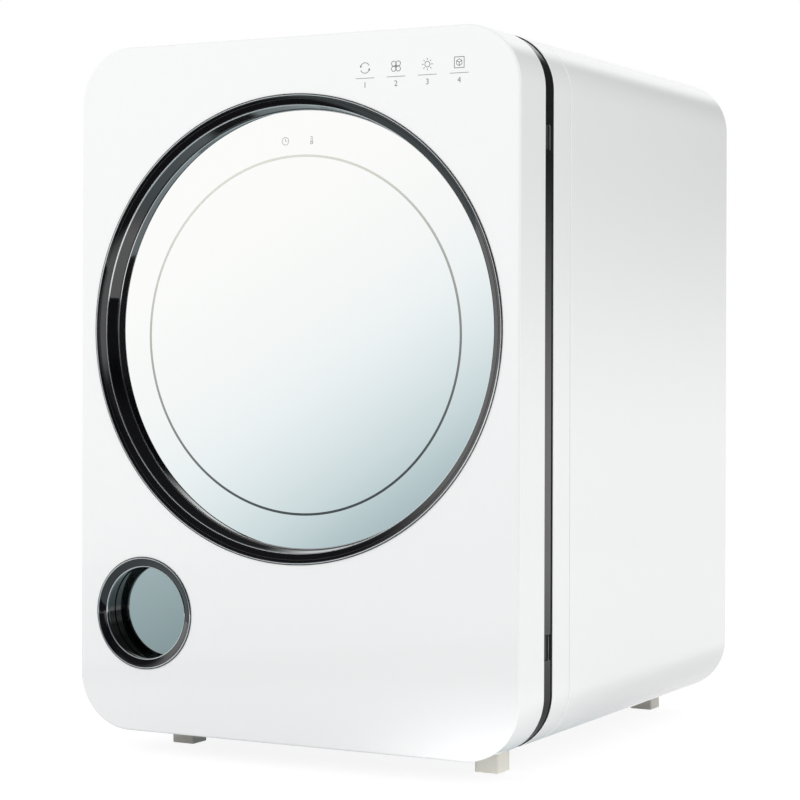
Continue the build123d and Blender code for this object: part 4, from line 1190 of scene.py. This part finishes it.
door_view = (
    (0.0, (0.03, 0.035, 0.04, 1.0)),
    (0.17, (0.20, 0.24, 0.25, 1.0)),
    (0.61, (0.30, 0.37, 0.39, 1.0)),
    (0.69, (0.34, 0.42, 0.44, 1.0)),
    (0.74, (0.48, 0.57, 0.59, 1.0)),
    (0.785, (0.67, 0.745, 0.76, 1.0)),
    (0.82, (0.79, 0.84, 0.85, 1.0)),
    (0.86, (0.90, 0.925, 0.93, 1.0)),
    (0.91, (0.96, 0.965, 0.955, 1.0)),
    (1.0, (1.0, 1.0, 0.99, 1.0)),
)


def make_world():
    """White for the camera, even light for matte things, and a studio in zones for gloss."""
    world = bpy.data.worlds.new("studio")
    bpy.context.scene.world = world
    world.use_nodes = True
    tree = world.node_tree
    tree.nodes.clear()
    way = add_node(tree, "ShaderNodeTexCoord", output=0)
    across, forwards, upwards = split(tree, way)
    # The pane mirrors this: blue-grey at the lower right and white at the upper left.
    share = (upwards * 0.8 - across * 0.65 + 0.136) / 0.52
    before_door = add_node(tree, "ShaderNodeValToRGB", {"stops": door_view}, {"Fac": share})
    # The slopes of the rims mirror what is straight ahead: nearly black, with one light strip.
    ahead = across.ramp(0.28, 0.38) * across.ramp(0.47, 0.62, 0.95, 0.0) + 0.03
    ahead = ahead * upwards.ramp(0.10, 0.25, 1.0, 0.1)
    before = blend_colours(tree, across.ramp(-0.30, -0.10), before_door, ahead)
    before = blend_colours(tree, upwards.ramp(0.30, 0.55), before, grey(0.04))
    # The band beside the door mirrors the right: light at the horizon and dark above it.
    beside = upwards.ramp(-0.05, 0.09, 0.86, 0.05) + upwards.ramp(0.6, 0.95, 0.0, 0.5)
    behind = blend_colours(tree, across.ramp(-0.1, 0.15), grey(0.95), beside)
    reflected = blend_colours(tree, forwards.ramp(-0.4, 0.2), before, behind)
    camera_ray, glossy_ray = rays(tree)
    ambient = blend_colours(tree, glossy_ray, grey(0.98, (0.995, 0.999, 1.0)), reflected)
    seen = blend_colours(tree, camera_ray, ambient, grey(1.0))
    background = add_node(tree, "ShaderNodeBackground", {}, {"Color": seen, "Strength": 1.0})
    add_node(tree, "ShaderNodeOutputWorld", {}, {"Surface": background})
    return world


make_world()
print("world ready")


# %% Floor
floor_radius = 1.5
floor_steps = 96


def make_floor():
    """A round floor: a soft shadow for the camera, and zones of colour for gloss."""
    floor = bpy.data.meshes.new("floor")
    around = arc((0, 0), floor_radius, 0, 360, floor_steps)[:-1]
    floor.from_pydata([(x, y, 0.0) for x, y in around], [], [tuple(range(floor_steps))])
    stage = add_object("floor", floor)
    finish = bpy.data.materials.new("floor_white")
    finish.use_nodes = True
    tree = finish.node_tree
    tree.nodes.clear()
    camera_ray, glossy_ray = rays(tree)
    matte = add_node(tree, "ShaderNodeBsdfDiffuse", {}, {"Color": grey(0.86)})
    white = add_node(tree, "ShaderNodeEmission", {}, {"Color": grey(1.0), "Strength": 1.1})
    place = add_node(tree, "ShaderNodeTexCoord", output=3)
    right, deep = split(tree, place)[:2]
    near = (deep * 0.7 + right).ramp(-0.76, -0.68)
    near = near * (deep + right * 0.5).ramp(-0.60, -0.54, 1.0, 0.0)
    before = blend_colours(tree, near, (0.44, 0.51, 0.53, 1.0), grey(0.03))
    beside = right.ramp(0.16, 0.26, 0.6, 0.92)
    left = blend_colours(tree, deep.ramp(-0.15, 0.2), before, grey(0.92))
    mirrored = blend_colours(tree, right.ramp(0.10, 0.20), left, beside)
    cool = add_node(tree, "ShaderNodeEmission", {}, {"Color": mirrored, "Strength": 1.0})
    lit = add_node(tree, "ShaderNodeMixShader", {}, {0: camera_ray * 0.8, 1: matte, 2: white})
    shown = add_node(tree, "ShaderNodeMixShader", {}, {0: glossy_ray, 1: lit, 2: cool})
    add_node(tree, "ShaderNodeOutputMaterial", {}, {"Surface": shown})
    floor.materials.append(finish)
    return stage


make_floor()
print("floor ready")


# %% Lamps
def soft_lamp(name, place, target, side, power, spread=180.0):
    """A square lamp that neither the camera nor gloss can see. Its power is in watts."""
    data = bpy.data.lights.new(name, "AREA")
    data.shape = "SQUARE"
    data.size = side
    data.energy = power
    data.spread = math.radians(spread)
    lamp = add_object(name, data)
    lamp.location = place
    lamp.rotation_mode = "QUATERNION"
    lamp.rotation_quaternion = (Vector(target) - Vector(place)).to_track_quat("-Z", "Y")
    lamp.visible_camera = False
    lamp.visible_glossy = False
    return lamp


soft_lamp("key_lamp", (-1.3, -2.2, 1.9), (0, 0, 0.25), 1.6, 12.0)
soft_lamp("side_lamp", (2.4, 0.9, 0.25), (0, 0, 0.2), 1.2, 7.0)
soft_lamp("foot_lamp", (0.75, -0.85, 0.03), (0.108, -0.114, -0.045), 0.1, 0.042, 8.0)
print("lamps ready")
